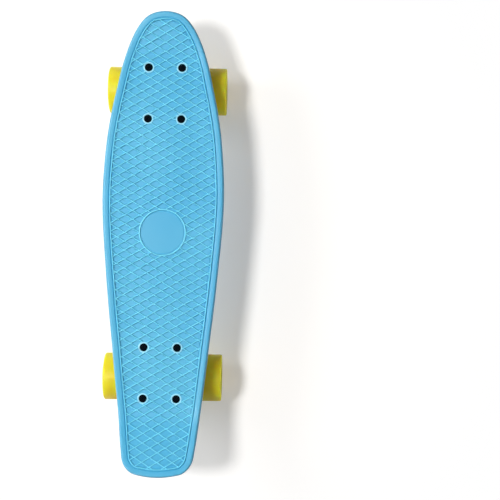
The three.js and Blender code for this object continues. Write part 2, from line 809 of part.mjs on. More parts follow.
function innerStackProfile() {
  const spacer = innerBore + spacerWall;
  const washer = innerRaceRadius - speedWasherInset;
  const end = bearingFaceX + speedWasherThickness;
  const side = [
    [spacer, bearingSpacer / 2], [innerRaceRadius, bearingSpacer / 2], [innerRaceRadius, bearingFaceX],
    [washer, bearingFaceX], [washer, end], [innerBore, end],
  ];
  const far = [...side].reverse().map(([radius, along]) => [radius, -along]);
  return [...side, ...far, side[0]];
}

function makeWheelSet(parent, name, side) {
  const set = new THREE.Group();
  set.position.set(side * wheelX, axlePoint.y, axlePoint.z);
  parent.add(set);
  const wheel = turnedOnFlats(wheelProfile(), wheelSegments).rotateY(Math.PI / 2);
  addPiece(set, `${name}_wheel`, wheel, 'wheelYellow');
  for (const [place, sign] of [['inner', -side], ['outer', side]]) {
    const near = bearingSpacer / 2;
    const profile = ringProfile(bearingShieldRadius, bearingRadius, near, near + bearingWidth);
    const bearing = turned(profile, bearingSegments).rotateY((sign * Math.PI) / 2);
    addPiece(set, `${name}_${place}_bearing`, bearing, 'steel');
  }
  const stack = turned(innerStackProfile(), bearingSegments).rotateY(Math.PI / 2);
  addPiece(set, `${name}_bearing_spacer_stack`, stack, 'steel');
  const nutStart = bearingFaceX + speedWasherThickness + seatGap;
  const nut = hexNut(axleNutFlats, axleNutHeight, axleRadius + seatGap).translate(0, 0, nutStart);
  addPiece(set, `${name}_axle_nut`, nut.rotateY((side * Math.PI) / 2), 'steel');
}

// A truck's own frame has Y outboard. The front truck is the rear one turned half a turn.
function makeTruck(parent, name, y, turn) {
  const truck = new THREE.Group();
  truck.position.set(0, y, mountZ);
  truck.rotation.z = turn;
  parent.add(truck);
  makeBaseplate(truck, name);
  makeKingpinStack(truck, name);
  makeHanger(truck, name);
  makePivotCup(truck, name);
  makeAxle(truck, name);
  const turned = turn === 0 ? 1 : -1;
  makeWheelSet(truck, `${name}_right`, turned);
  makeWheelSet(truck, `${name}_left`, -turned);
}

function makeSkateboard() {
  const board = new THREE.Group();
  makeDeck(board);
  makeDeckFasteners(board);
  makeTruck(board, 'front', frontTruckY, Math.PI);
  makeTruck(board, 'rear', rearTruckY, 0);
  return board;
}

export default makeSkateboard();
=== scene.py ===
import json
import math

import bmesh
import bpy
import numpy as np
from mathutils import Matrix, Vector

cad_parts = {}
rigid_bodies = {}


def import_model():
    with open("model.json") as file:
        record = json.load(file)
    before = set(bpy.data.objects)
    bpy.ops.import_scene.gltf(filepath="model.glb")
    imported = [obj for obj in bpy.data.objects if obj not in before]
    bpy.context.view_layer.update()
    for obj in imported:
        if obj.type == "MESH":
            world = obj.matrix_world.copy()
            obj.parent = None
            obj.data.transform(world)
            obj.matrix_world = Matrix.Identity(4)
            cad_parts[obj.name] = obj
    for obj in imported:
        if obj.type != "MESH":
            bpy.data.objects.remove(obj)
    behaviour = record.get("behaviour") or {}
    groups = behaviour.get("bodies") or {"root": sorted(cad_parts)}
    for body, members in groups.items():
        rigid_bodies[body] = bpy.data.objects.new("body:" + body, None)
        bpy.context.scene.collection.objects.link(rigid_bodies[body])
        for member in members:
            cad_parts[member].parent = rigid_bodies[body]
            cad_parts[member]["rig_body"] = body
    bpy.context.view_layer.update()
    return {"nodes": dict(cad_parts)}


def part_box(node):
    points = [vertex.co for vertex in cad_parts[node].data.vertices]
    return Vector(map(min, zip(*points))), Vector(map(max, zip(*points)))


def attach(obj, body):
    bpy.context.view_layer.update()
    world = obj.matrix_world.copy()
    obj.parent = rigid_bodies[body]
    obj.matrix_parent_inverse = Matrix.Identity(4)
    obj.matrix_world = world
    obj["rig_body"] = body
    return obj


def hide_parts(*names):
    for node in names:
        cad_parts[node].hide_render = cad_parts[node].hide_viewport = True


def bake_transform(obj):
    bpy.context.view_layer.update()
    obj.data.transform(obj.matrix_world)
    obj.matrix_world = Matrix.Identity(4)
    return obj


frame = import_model()

# Sizes are in millimetres, as the part's own source has them, and MM turns them into metres.
MM = 0.001

# Deck plan: distance from the nose tip as a share of the length, half width as a share of the half
DECK_LENGTH = 572
DECK_WIDTH = 151
PLAN_SHARES = [
    (0.0087, 0.272), (0.03, 0.436), (0.064, 0.576), (0.11, 0.697), (0.167, 0.795), (0.2185, 0.877),
    (0.28, 0.947), (0.408, 1), (0.58, 0.912), (0.736, 0.789), (0.846, 0.697), (0.895, 0.653),
    (0.9406, 0.608), (0.972, 0.556), (0.9904, 0.43), (0.9976, 0.225),
]
OUTLINE_STEPS = 8

# Steps round a turned piece
SEGMENTS = 64
BOLT_SEGMENTS = 32
SMALL_SEGMENTS = 48
FINE_SEGMENTS = 128

# Angles in degrees from which an edge stays sharp
SHARP = 32
DECK_SHARP = 24
CAST_SHARP = 50

# Corners closer than this are one, and the shares are of a side for a round and of a smoothing step
WELD = 1e-4
ROUND_REACH_SHARE = 0.49
SMOOTH_SHARE = 0.5

# Deck sheet
MOUNT_Z = 78
FLOOR_THICKNESS = 6.3
RIM_STEP = 1
RIM_BEAD_INSET = 9.8
RIM_BEAD_HEIGHT = 1.8
RIM_BEAD_RUN = 1.15
RIM_BEAD_CREST_HALF = 0.25
RIM_GROOVE_RISE = -0.25
RIM_GROOVE_RUN = 0.9
INNER_GROOVE_DEPTH = 0.5
INNER_GROOVE_HALF = 0.45
INNER_GROOVE_RUN = 0.5
FOOT_ROUND = 0.2
CREST_ROUND = 0.3
RIM_ROUND = 0.8
EDGE_LEAN_RUN = 1.9
EDGE_LEAN_START = 3.6
EDGE_ROUND = 1.6
UNDER_ROUND = 2.5
SIDE_RISE = 1.5
FLAT_HALF_WIDTH = 27
SIDE_RUN_LEAST = 25
NOSE_FLAT_END = 63.25
NOSE_SLOPE = 0.2
NOSE_BEND_RADIUS = 120
TAIL_FLAT_END = 87.25
TAIL_SLOPE = 0.36
TAIL_BEND_RADIUS = 80
NOSE_SPINE_INSET = 58
TAIL_SPINE_INSET = 44
INNER_SHARES = [0, 0.14, 0.28, 0.42, 0.56, 0.7, 0.84]

# Grip pattern on the deck's floor
RIDGE_HEIGHT = 1.4
RIDGE_HALF_WIDTH = 1.4
RIDGE_CREST_HALF = 0.25
RIDGE_ROOT = 0.6
RIDGE_LEAN = math.radians(30.35)
RIDGE_PITCH_ALONG = 10.98
RIDGE_START = (0, 4.25)
RIDGE_STEP = 4
RIDGE_REACH = 100
RIDGE_SAMPLE = 0.25
RIDGE_SPILL = 60
# Attribute that holds the strength of the painted highlight on the crests
HIGHLIGHT_ATTRIBUTE = "crest"
DISC_RADIUS = 28.5
DISC_Y = -13
DISC_RISE = 0.35
DISC_GROOVE_RISE = 0.05
DISC_GROOVE_HALF = 0.3
DISC_GROOVE_RUN = 0.4
BEAD_HALF_WIDTH = 1.4
BEAD_CREST_HALF = 0.45
BEAD_HEIGHT = 1.6
PAD_RADIUS = 7.2
PAD_SLOPE = 0.7
PAD_HEIGHT = 0.95
PAD_STEP = 0.45
# Painted highlight on the bolt pads: the share of the pad's slope left outside it, and a factor on its
# strength
PAD_HIGHLIGHT_SHARE = 0.8
PAD_HIGHLIGHT_BOOST = 3

# Ribs and panels under the deck
RIB_HEIGHT = 5
RIB_HALF_WIDTH = 4.75
RIB_CROWN_HALF = 1.75
RIB_ROOT = 1.5
RIB_TAPER = 16
RIB_END_SHARE = 0.25
RIB_FOOT_ROUND = 1.2
RIB_CROWN_ROUND = 1.3
RIB_STEPS = 60
CURVED_RIB_STEPS = 10
STRAIGHT_RIB_X = 24.6
RIB_START = -131
RIB_END = 107
CURVED_RIB_SPREAD = 57.3
CURVED_RIB_SHARES = [
    (0.489, 0.042), (0.681, 0.08), (0.873, 0.126), (0.984, 0.198), (1, 0.298), (0.97, 0.445),
    (0.918, 0.613), (0.855, 0.748), (0.759, 0.824), (0.628, 0.878), (0.489, 0.937),
]
PANEL_ENDS = (-119, 80)
PANEL_HALVES = (17.5, 17.5)
PANEL_CORNERS = (9, 9)
PANEL_DEPTH = 0.8
MARK_RADIUS = 10.7
MARK_Y = 95
TAIL_PANEL_ENDS = (231, 260)
TAIL_PANEL_HALVES = (16.6, 12.1)
TAIL_PANEL_CORNERS = (3, 4)
TAIL_PANEL_DEPTH = 1.2

# Mounting bolts and lock nuts
BOLT_RADIUS = 2.4
BOLT_HEAD_RADIUS = 4.9
BOLT_HEAD_HEIGHT = 2.8
BOLT_END_PAST_NUT = 0.8
BOLT_PITCH = 0.8
BOLT_TIP = 0.4
BOLT_NECK_ROUND = 0.3
BOLT_EDGE = 0.25
BOLT_EDGE_ROUND = 0.12
BOLT_TOP_ROUND = 0.2
HOLE_FLARE = 0.4
HOLE_RISE = 0.1
CROSS_HALF = 2.6
CROSS_WING = 0.55
CROSS_DEPTH = 2
CROSS_TIP_SHARE = 0.35
CROSS_MOUTH_SHARE = 1.1
THREAD_DEPTH_SHARE = 0.42
THREAD_LAP = 1
LOCK_NUT_FLATS = 9.5
LOCK_NUT_HEIGHT = 6
NUT_LOW_SHARE = 0.97
NUT_HIGH_SHARE = 0.98
NUT_SLOPE_SHARE = 0.7
COLLAR_SHARE = 0.28
COLLAR_LIP_SHARE = 0.72
COLLAR_WAIST_SHARE = 0.86
COLLAR_FOOT_SHARE = 0.88
COLLAR_RISE_SHARE = 0.25
COLLAR_LIP_ROUND = 0.3
COLLAR_WAIST_ROUND = 0.5
COLLAR_SINK = 0.3
NYLON_RADIUS_SHARE = 0.7
NYLON_HEIGHT_SHARE = 0.9
BOLT_SPIN = 0.7
LOCK_NUT_SPIN = 1.3
SEAT_GAP = 0.3
SLIP_GAP = 0.15
OVERRUN = 2

# Baseplate
PLATE_LENGTH = 73.5
PLATE_WIDTH = 51.5
PLATE_THICKNESS = 5
PLATE_CORNER = 5
NOTCH_WIDTH = 24.5
NOTCH_DEPTH = 12
NOTCH_ROUND = 3
PLATE_TURN = 1.2
END_RECESS_WIDTH = 27
END_RECESS_DEPTH = 3.5
RAIL_WIDTH = 11
INSET_DEPTH = 1.2
INSET_LENGTH = 42
BOLT_SPAN_ALONG = 63.5
BOLT_SPAN_ACROSS = 41.3
KINGPIN_BOSS_RADIUS = 13
KINGPIN_BOSS_HEIGHT = 4.5
PIVOT_BOSS_RADIUS = 9.8
PIVOT_BOSS_INNER = 6.5
PIVOT_BOSS_OUTER = 8.2
PIVOT_BOSS_ROUND = 1.5
BOSS_ROUND = 0.8
BOSS_SPREAD = 0.6
PLATE_CAST = (0.45, 9)

# Kingpin and its stack
KINGPIN_LEAN = math.radians(8)
KINGPIN_INBOARD = 14.6
KINGPIN_RADIUS = 4.75
KINGPIN_HEAD_FLATS = 14.3
KINGPIN_HEAD_HEIGHT = 4
KINGPIN_HEAD_SINK = 1.5
KINGPIN_END = 2.5
KINGPIN_PITCH = 1.25
KINGPIN_TIP = 1.1
KINGPIN_THREAD_RISE = 3
KINGPIN_THREAD_LAP = 0.5
KINGPIN_HEAD_EDGE = 0.7
KINGPIN_HEAD_SHARE = 0.96
WASHER_THICKNESS = 1.6
WASHER_LIP = 1.1
WASHER_LIP_WALL = 1.2
WASHER_TURN = 1.2
WASHER_CORNER = 0.5
WASHER_LIP_ROUND = 0.35
WASHER_BORE_ROUND = 0.25
BOTTOM_BUSHING_HEIGHT = 11
BOTTOM_BUSHING_RADIUS = 10
BUSHING_BULGE = 0.9
TOP_BUSHING_HEIGHT = 8.5
TOP_BUSHING_WIDE = 10.2
TOP_BUSHING_NARROW = 8
CONE_BULGE = 0.35
BARREL_EDGE = (0.8, 0.7)
CONE_EDGE = (0.6, 0.5)
BUSHING_ROWS = 10
KINGPIN_NUT_FLATS = 14.3
KINGPIN_NUT_HEIGHT = 6.5

# Hanger, pivot and axle
TRUCK_HEIGHT = 48
RING_RADIUS = 14
RING_THICKNESS = 8.5
RING_BORE_CLEARANCE = 2.05
AXLE_OUTBOARD = 11.3
TUBE_RADIUS = 6
ARM_THICKNESS = 4
ARM_RING_DEPTH = 8
ARM_TUBE_DEPTH = 10
ARM_RING_SPREAD = 12.5
ARM_TUBE_SPREAD = 17.5
BACK_WALL_THICKNESS = 6
BACK_WALL_TOP_HALF = 5.4
ROOF_THICKNESS = 5
ROOF_HALF_WIDTH = 9
PIVOT_OUTBOARD = 27
PIVOT_DROP = 11.5
STEM_RADIUS = 4.4
STEM_LENGTH = 8.6
STEM_FLARE_RADIUS = 6.4
STEM_FLARE_LENGTH = 5
CUP_WALL = 1.7
CUP_MOUTH = 5
CUP_MOUTH_ROUND = 0.4
CUP_END_ROUND = 1
CUP_LIP = 0.01
HANGER_CAST = (0.4, 22)
AXLE_RADIUS = 4
AXLE_HALF = 74.2
AXLE_PITCH = 1
AXLE_THREAD_LENGTH = 8
AXLE_TIP = 0.9

# Wheels and bearings
WHEEL_RADIUS = 30
WHEEL_WIDTH = 46.5
WHEEL_X = 51.95
BEARING_RADIUS = 11
BEARING_WIDTH = 7
BEARING_SPACER = 10
SHIELD_RADIUS = 6.55
SHIELD_SINK = 0.45
SHIELD_ROUND = 0.15
SHIELD_STEP = 0.5
SHIELD_SEAM = 0.9
SHIELD_SEAM_END = 0.5
SHIELD_EDGE = 0.2
SHIELD_RAISED_SHARE = 0.6
SHIELD_SEAM_SHARE = 1.3
OUTER_RACE_WALL = 1.7
RACE_EDGE = 0.1
BEARING_ROUND = 0.5
INNER_RACE_WALL = 1.65
SPACER_WALL = 1.05
SPEED_WASHER_THICKNESS = 1
SPEED_WASHER_STEP = 0.3
AXLE_NUT_FLATS = 12.7
AXLE_NUT_HEIGHT = 7
HUB_SPIN = 0.37
INNER_RACE_ROUND = 0.3
SPEED_WASHER_ROUND = 0.25
STACK_BORE_ROUND = 0.2
HUB_WALL_RADIUS = 9.4
SEAT_DEPTH_SPARE = 0.4
DISH_RADIUS = 22
DISH_DEPTH = 1.4
LIP_RADIUS = 4.5
SEAT_ROUND = 0.4
DISH_ROUND = 1.6
FACE_ROUND = 2.5

# Places down the kingpin from the plate's lower face, and other sizes that follow from those above
LOWER_WASHER_START = KINGPIN_BOSS_HEIGHT + SEAT_GAP
BOTTOM_BUSHING_START = LOWER_WASHER_START + WASHER_THICKNESS + SEAT_GAP
RING_START = BOTTOM_BUSHING_START + BOTTOM_BUSHING_HEIGHT + SEAT_GAP
TOP_BUSHING_START = RING_START + RING_THICKNESS + SEAT_GAP
TOP_WASHER_START = TOP_BUSHING_START + TOP_BUSHING_HEIGHT + SEAT_GAP
KINGPIN_NUT_START = TOP_WASHER_START + WASHER_THICKNESS + SEAT_GAP
KINGPIN_LENGTH = KINGPIN_NUT_START + KINGPIN_NUT_HEIGHT + KINGPIN_END
HALF_LENGTH = DECK_LENGTH / 2
PAD_TOP = FLOOR_THICKNESS + PAD_HEIGHT
BOLT_HEAD_TOP = PAD_TOP - PAD_STEP
LOCK_NUT_LOW = -PLATE_THICKNESS - 2 * SEAT_GAP - LOCK_NUT_HEIGHT
BEARING_FACE = BEARING_SPACER / 2 + BEARING_WIDTH
INNER_BORE = AXLE_RADIUS + SLIP_GAP
INNER_RACE_RADIUS = INNER_BORE + INNER_RACE_WALL
SPACER_RADIUS = INNER_BORE + SPACER_WALL
SPEED_WASHER_RADIUS = INNER_RACE_RADIUS - SPEED_WASHER_STEP
TUBE_HALF = WHEEL_X - BEARING_FACE - SPEED_WASHER_THICKNESS - 2 * SEAT_GAP

# Bushings: name, lower and upper end, the radii there, edge, bulge and its fading, still and moving end
BUSHINGS = [
    ("bottom", RING_START - SEAT_GAP, BOTTOM_BUSHING_START, (BOTTOM_BUSHING_RADIUS,) * 2, BARREL_EDGE,
     BUSHING_BULGE, 0, BOTTOM_BUSHING_START, RING_START),
    ("top", TOP_WASHER_START - SEAT_GAP, TOP_BUSHING_START, (TOP_BUSHING_NARROW, TOP_BUSHING_WIDE),
     CONE_EDGE, CONE_BULGE, 1, TOP_WASHER_START, TOP_BUSHING_START),
]

# Places in a truck's own frame, with Y outboard, Z up and its origin on the deck's underside
RING_CENTRE = RING_START + RING_THICKNESS / 2
RING_POINT = Vector((
    0, math.sin(KINGPIN_LEAN) * RING_CENTRE - KINGPIN_INBOARD,
    -math.cos(KINGPIN_LEAN) * RING_CENTRE - PLATE_THICKNESS,
))
PIVOT_POINT = Vector((0, PIVOT_OUTBOARD, -PIVOT_DROP))
AXLE_POINT = Vector((0, AXLE_OUTBOARD, -TRUCK_HEIGHT))
STEER_DIRECTION = (PIVOT_POINT - RING_POINT).normalized()
STEER_ANGLE = math.atan2(STEER_DIRECTION.z, STEER_DIRECTION.y)

TURN_X = Matrix.Rotation(KINGPIN_LEAN, 4, "X")
ON_KINGPIN = Matrix.Translation((0, -KINGPIN_INBOARD, -PLATE_THICKNESS)) @ TURN_X
ON_RING = Matrix.Translation(RING_POINT) @ TURN_X
ON_STEER = Matrix.Translation(PIVOT_POINT) @ Matrix.Rotation(STEER_ANGLE - math.pi / 2, 4, "X")
ON_AXLE = Matrix.Translation(AXLE_POINT) @ Matrix.Rotation(math.pi / 2, 4, "Y")

# Portrait: the camera looks straight down from beside the board, with the nose up in the picture.
CAMERA_PLACE = (-108.8, 6.7, 1312.8)
CAMERA_SLANT = 0.0187
CAMERA_LENS = 71.36
CAMERA_SENSOR = 36
CAMERA_CLIPS = (0.01, 50)

# Finishes: display colours from 0 to 255 with their grain, a roughness range with its wear, and bumps
# of a noise, a depth in millimetres and a strength. A noise has grains a metre, detail and stretch.
NOISE_SPAN = (0.3, 0.7)
BRUSH = (30, 1, 1)
METAL = {
    "grain": (55, 4), "wear": (150, 5), "bumps": [((260, 4), 0.09, 0.4), ((1500, 2), 0.03, 0.3)],
    "Metallic": 1,
}
BRUSHED = METAL | {
    "wear": (150, 5, BRUSH), "bumps": [((260, 4), 0.09, 0.4), ((1500, 2, BRUSH), 0.03, 0.3)],
}
NYLON = {
    "grain": (300, 3), "rough": (0.45, 0.6), "wear": (500, 3), "bumps": [((1200, 3), 0.04, 0.35)],
    "IOR": 1.5,
}
LOOKS = {
    "blue": {
        "name": "moulded_sky_blue", "colours": ((63, 166, 209), (84, 177, 213)), "grain": (9, 2),
        "rough": (0.34, 0.44), "wear": (60, 4),
        "bumps": [((700, 2), 0.05, 0.35), ((45, 2), 0.25, 0.25)], "IOR": 1.49,
    },
    "yellow": {
        "name": "cast_yellow_urethane", "colours": ((229, 206, 34), (235, 215, 46)), "grain": (26, 3),
        "rough": (0.4, 0.52), "wear": (90, 4),
        "bumps": [((1, 3, (1400, 20, 20)), 0.06, 0.4), ((420, 3), 0.05, 0.35)],
        "Specular IOR Level": 0.3, "Subsurface Weight": 0.9, "Subsurface Scale": 0.05,
        "Subsurface Radius": (1, 0.56, 0.1),
    },
    "nickel": METAL | {
        "name": "warm_nickel", "colours": ((186, 178, 156), (206, 199, 180)), "rough": (0.16, 0.3)},
    "bright": METAL | {
        "name": "bright_plate", "colours": ((200, 198, 190), (218, 216, 210)), "rough": (0.1, 0.22)},
    "machined": BRUSHED | {
        "name": "machined_steel", "colours": ((182, 182, 180), (206, 206, 203)), "rough": (0.2, 0.34)},
    "shield": METAL | {
        "name": "bearing_shield", "colours": ((170, 171, 172), (190, 191, 192)), "rough": (0.28, 0.4)},
    "amber": {
        "name": "amber_urethane", "colours": ((212, 160, 40), (226, 180, 62)), "grain": (120, 2),
        "rough": (0.3, 0.42), "wear": (300, 3), "bumps": [((500, 3), 0.05, 0.3)], "IOR": 1.5,
        "Subsurface Weight": 0.35, "Subsurface Scale": 0.006, "Subsurface Radius": (1, 0.7, 0.15),
    },
    "black": {
        "name": "black_oxide", "colours": ((2, 9, 15), (6, 17, 25)), "grain": (400, 4),
        "rough": (0.35, 0.5), "wear": (700, 4), "bumps": [((1600, 3), 0.03, 0.4)],
        "Specular IOR Level": 0.02,
    },
    "cup": NYLON | {"name": "cup_nylon", "colours": ((38, 38, 41), (50, 50, 54))},
    "collar": NYLON | {"name": "lock_collar", "colours": ((28, 30, 36), (40, 42, 50))},
}

# Painted highlight: paler blues by how far a point stands up from the floor, on the crests of the ridges
# and beads and on the bolt pads: from, to, strength and colour
CREST_HIGHLIGHT_TONES = [(0.5, 1, 0.68, (132, 236, 255)), (1, 1.5, 1, (158, 224, 248))]

# Studio, in metres and watts: a lamp's name, place, width and power
LAMPS = [
    ("key", (1.08, -0.06, 2.3), 0.52, 44),
    ("side", (2.8, -0.95, 1.6), 1.2, 46),
    ("side_nose", (1.6, -2.6, 1.65), 1.1, 7),
    ("side_tail", (1.9, 2.4, 1.65), 1.1, 5),
    ("fill", (-2.7, 0.4, 1.6), 2.0, 20),
]
WORLD_LIGHT = 0.09
WORLD_REFLECTION = (0.2, 1.6)
FLOOR_GLOW = 0.265
FLOOR_GLOW_COLOUR = (1, 0.96, 0.93, 1)
FLOOR_FADE = (0.22, 0.5)
FLOOR_PAPER = (0.9, 0.885, 0.865, 1)
FLOOR_REACH = 12


# Meshes in millimetres
def mesh_from(verts, faces):
    """A mesh with its shared corners welded and its faces turned outward."""
    mesh = bpy.data.meshes.new("shape")
    mesh.from_pydata([tuple(v) for v in verts], [], faces)
    work = bmesh.new()
    work.from_mesh(mesh)
    bmesh.ops.remove_doubles(work, verts=work.verts, dist=WELD)
    bmesh.ops.recalc_face_normals(work, faces=work.faces)
    work.to_mesh(mesh)
    work.free()
    return mesh


def moved(mesh, matrix):
    mesh.transform(matrix)
    return mesh


def joined(meshes):
    """One mesh that holds several."""
    work = bmesh.new()
    for mesh in meshes:
        work.from_mesh(mesh)
    whole = bpy.data.meshes.new("shape")
    work.to_mesh(whole)
    work.free()
    return whole


def linked(name, data):
    made = bpy.data.objects.new(name, data)
    bpy.context.scene.collection.objects.link(made)
    return made


def applied(holder, *helpers):
    """The mesh that a holder's modifiers make, with the holder and its helpers taken away."""
    bpy.context.view_layer.update()
    graph = bpy.context.evaluated_depsgraph_get()
    made = bpy.data.meshes.new_from_object(holder.evaluated_get(graph))
    made.materials.clear()
    for used in (holder, *helpers):
        bpy.data.objects.remove(used)
    return made


def combined(base, tools, operation):
    holder = linked("holder", base)
    helpers = [linked("holder", tool) for tool in tools]
    for helper in helpers:
        step = holder.modifiers.new("step", "BOOLEAN")
        step.operation = operation
        step.solver = "MANIFOLD"
        step.object = helper
    return applied(holder, *helpers)


def united(base, *tools):
    return combined(base, tools, "UNION")


def cut(base, *tools):
    return combined(base, tools, "DIFFERENCE")


def shared_part(base, *tools):
    return combined(base, tools, "INTERSECT")


def cast(mesh, voxel, smoothing):
    """Rounds every edge and fills every corner a little, as a casting has them."""
    holder = linked("holder", mesh)
    remesh = holder.modifiers.new("remesh", "REMESH")
    remesh.mode = "VOXEL"
    remesh.voxel_size = voxel
    smooth = holder.modifiers.new("smooth", "SMOOTH")
    smooth.factor = SMOOTH_SHARE
    smooth.iterations = smoothing
    return applied(holder)


def rounded(corners, closed=False, steps=4):
    """An outline of (a, b) or (a, b, round) corners, with each stated round drawn as a short curve."""
    points = []
    count = len(corners)
    for i, corner in enumerate(corners):
        here = Vector(corner[:2])
        at_end = not closed and i in (0, count - 1)
        if len(corner) < 3 or at_end:
            points.append(here)
            continue
        before = Vector(corners[i - 1][:2]) - here
        after = Vector(corners[(i + 1) % count][:2]) - here
        half = before.angle(after) / 2
        room = min(before.length, after.length) * ROUND_REACH_SHARE
        reach = min(corner[2] / math.tan(half), room)
        start = here + before.normalized() * reach
        end = here + after.normalized() * reach
        for k in range(steps + 1):
            t = k / steps
            points.append(start * (1 - t) ** 2 + here * (2 * t * (1 - t)) + end * t ** 2)
    return [(p.x, p.y) for p in points]


def loft(rings, capped=True):
    """Joins closed loops of equal count, with flat ends where they are wanted."""
    count = len(rings[0])
    verts = [v for ring in rings for v in ring]
    faces = []
    for k in range(len(rings) - 1):
        low, high = k * count, (k + 1) * count
        for i in range(count):
            j = (i + 1) % count
            faces.append([low + i, low + j, high + j, high + i])
    if capped:
        faces.append(list(range(count)))
        faces.append(list(range((len(rings) - 1) * count, len(rings) * count)))
    return verts, faces


def polar(radius, angle):
    return radius * math.cos(angle), radius * math.sin(angle)


def turned(profile, segments=SEGMENTS):
    """A round piece about Z, from a profile of (radius, height) that closes on itself or on the axis."""
    verts = []
    rows = []
    for radius, height in profile:
        if radius == 0:
            rows.append([len(verts)] * segments)
            verts.append((0, 0, height))
            continue
        rows.append(list(range(len(verts), len(verts) + segments)))
        verts += [(*polar(radius, 2 * math.pi * i / segments), height) for i in range(segments)]
    pairs = list(zip(rows, rows[1:]))
    if profile[0][0] > 0:
        pairs.append((rows[-1], rows[0]))
    faces = []
    for low, high in pairs:
        for i in range(segments):
            j = (i + 1) % segments
            corners = list(dict.fromkeys([low[i], low[j], high[j], high[i]]))
            if len(corners) > 2:
                faces.append(corners)
    return mesh_from(verts, faces)


def rod(radius, low, high, segments=SEGMENTS):
    return turned([(0, low), (radius, low), (radius, high), (0, high)], segments)


def both_sides(right):
    """The corners on the right of an outline, then the same on its left in the opposite order."""
    return [*right, *((-x, *rest) for x, *rest in reversed(right))]


def prism(outline, low, high):
    rings = [[(x, y, z) for x, y in outline] for z in (low, high)]
    return mesh_from(*loft(rings))


def block(half_x, half_y, low, high):
    return prism([(-half_x, -half_y), (half_x, -half_y), (half_x, half_y), (-half_x, half_y)], low, high)


def arc(radius, start, end, steps):
    return [polar(radius, math.radians(start + (end - start) * k / steps)) for k in range(steps + 1)]


def hexagon_bar(flats, low, high):
    return prism([polar(flats / math.sqrt(3), k * math.pi / 3) for k in range(6)], low, high)


def hexagonal(flats, profile):
    """The part of a turned piece that lies inside a hexagon."""
    heights = [corner[1] for corner in profile]
    bar = hexagon_bar(flats, min(heights) - OVERRUN, max(heights) + OVERRUN)
    return shared_part(bar, turned(profile, SMALL_SEGMENTS))


def threaded(radius, low, high, pitch, tip, segments=BOLT_SEGMENTS, rows=6):
    """A rod about Z with a helical thread, in rows of points, and a bevelled tip at its low end."""
    depth = THREAD_DEPTH_SHARE * pitch
    count = max(2, round((high - low) / pitch * rows))
    rings = []
    for k in range(count + 1):
        height = low + (high - low) * k / count
        ring = []
        for i in range(segments):
            phase = (height / pitch - i / segments) % 1
            crest = radius - depth * abs(2 * phase - 1)
            reach = min(crest, radius - tip + (height - low))
            ring.append((*polar(reach, 2 * math.pi * i / segments), height))
        rings.append(ring)
    return mesh_from(*loft(rings))


# Materials
def srgb(red, green, blue):
    """A display colour from 0 to 255 as the linear numbers that a shader takes."""
    def linear(value):
        share = value / 255
        return share / 12.92 if share <= 0.04045 else ((share + 0.055) / 1.055) ** 2.4
    return (linear(red), linear(green), linear(blue), 1)


def add_node(tree, kind, sockets=None, **settings):
    """Adds a shader node and gives its sockets, by name or number, values or other nodes' outputs."""
    node = tree.nodes.new(f"ShaderNode{kind}")
    for setting, value in settings.items():
        setattr(node, setting, value)
    for socket, value in (sockets or {}).items():
        if isinstance(value, bpy.types.NodeSocket):
            tree.links.new(value, node.inputs[socket])
        else:
            node.inputs[socket].default_value = value
    return node


class Finish:
    """A principled material with helpers for its procedural colour, roughness and relief."""

    def __init__(self, name, colours, grain, rough, wear, bumps, **sockets):
        self.material = bpy.data.materials.new(name)
        self.material.use_nodes = True
        self.tree = self.material.node_tree
        self.shader = self.tree.nodes["Principled BSDF"].inputs
        self.place = add_node(self.tree, "TexCoord").outputs["Object"]
        for socket, value in sockets.items():
            self.shader[socket].default_value = value
        self.colour(self.noise(*grain), colours)
        self.feed("Roughness", self.span(self.noise(*wear), *rough, *NOISE_SPAN))
        self.relief(bumps)

    def feed(self, socket, value):
        self.tree.links.new(value, self.shader[socket])

    def noise(self, scale, detail, stretch=(1, 1, 1)):
        mapping = add_node(self.tree, "Mapping", {"Vector": self.place, "Scale": stretch})
        sockets = {"Vector": mapping.outputs["Vector"], "Scale": scale, "Detail": detail}
        return add_node(self.tree, "TexNoise", sockets).outputs["Fac"]

    def span(self, value, low, high, start, end):
        """Maps the values from start to end onto those from low to high."""
        node = add_node(self.tree, "MapRange", {
            "Value": value, "From Min": start, "From Max": end, "To Min": low, "To Max": high})
        return node.outputs["Result"]

    def colour(self, value, colours):
        ramp = add_node(self.tree, "ValToRGB", {"Fac": value})
        for element, place, colour in zip(ramp.color_ramp.elements, NOISE_SPAN, colours):
            element.position = place
            element.color = srgb(*colour)
        self.feed("Base Color", ramp.outputs["Color"])

    def relief(self, bumps):
        below = {}
        for noise, depth, strength in bumps:
            bump = add_node(self.tree, "Bump", {
                "Height": self.noise(*noise), "Distance": depth * MM, "Strength": strength, **below})
            below = {"Normal": bump.outputs["Normal"]}
        self.feed("Normal", below["Normal"])

    def tint(self, name, start, end, strength, colour):
        """Mixes a colour into the base colour where a mesh attribute goes from start to end."""
        value = add_node(self.tree, "Attribute", attribute_name=name).outputs["Fac"]
        mix = add_node(self.tree, "Mix", {
            "Factor": self.span(value, 0, strength, start, end),
            6: self.shader["Base Color"].links[0].from_socket, 7: srgb(*colour),
        }, data_type="RGBA")
        self.feed("Base Color", mix.outputs[2])


FINISHES = {key: Finish(**look) for key, look in LOOKS.items()}
# Painted highlight: the crests of the ridges and beads and the bolt pads get paler blues
for tone in CREST_HIGHLIGHT_TONES:
    FINISHES["blue"].tint(HIGHLIGHT_ATTRIBUTE, *tone)


# Pieces
def dress(node, mesh, matrix, finishes, slot, sharp=SHARP):
    """Shows a mesh in millimetres in a node's place and hides the node."""
    mesh.transform(Matrix.Scale(MM, 4) @ matrix)
    mesh.shade_smooth()
    mesh.set_sharp_from_angle(angle=math.radians(sharp))
    for finish in finishes:
        mesh.materials.append(FINISHES[finish].material)
    piece = linked(f"{node}_piece", mesh)
    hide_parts(node)
    return piece


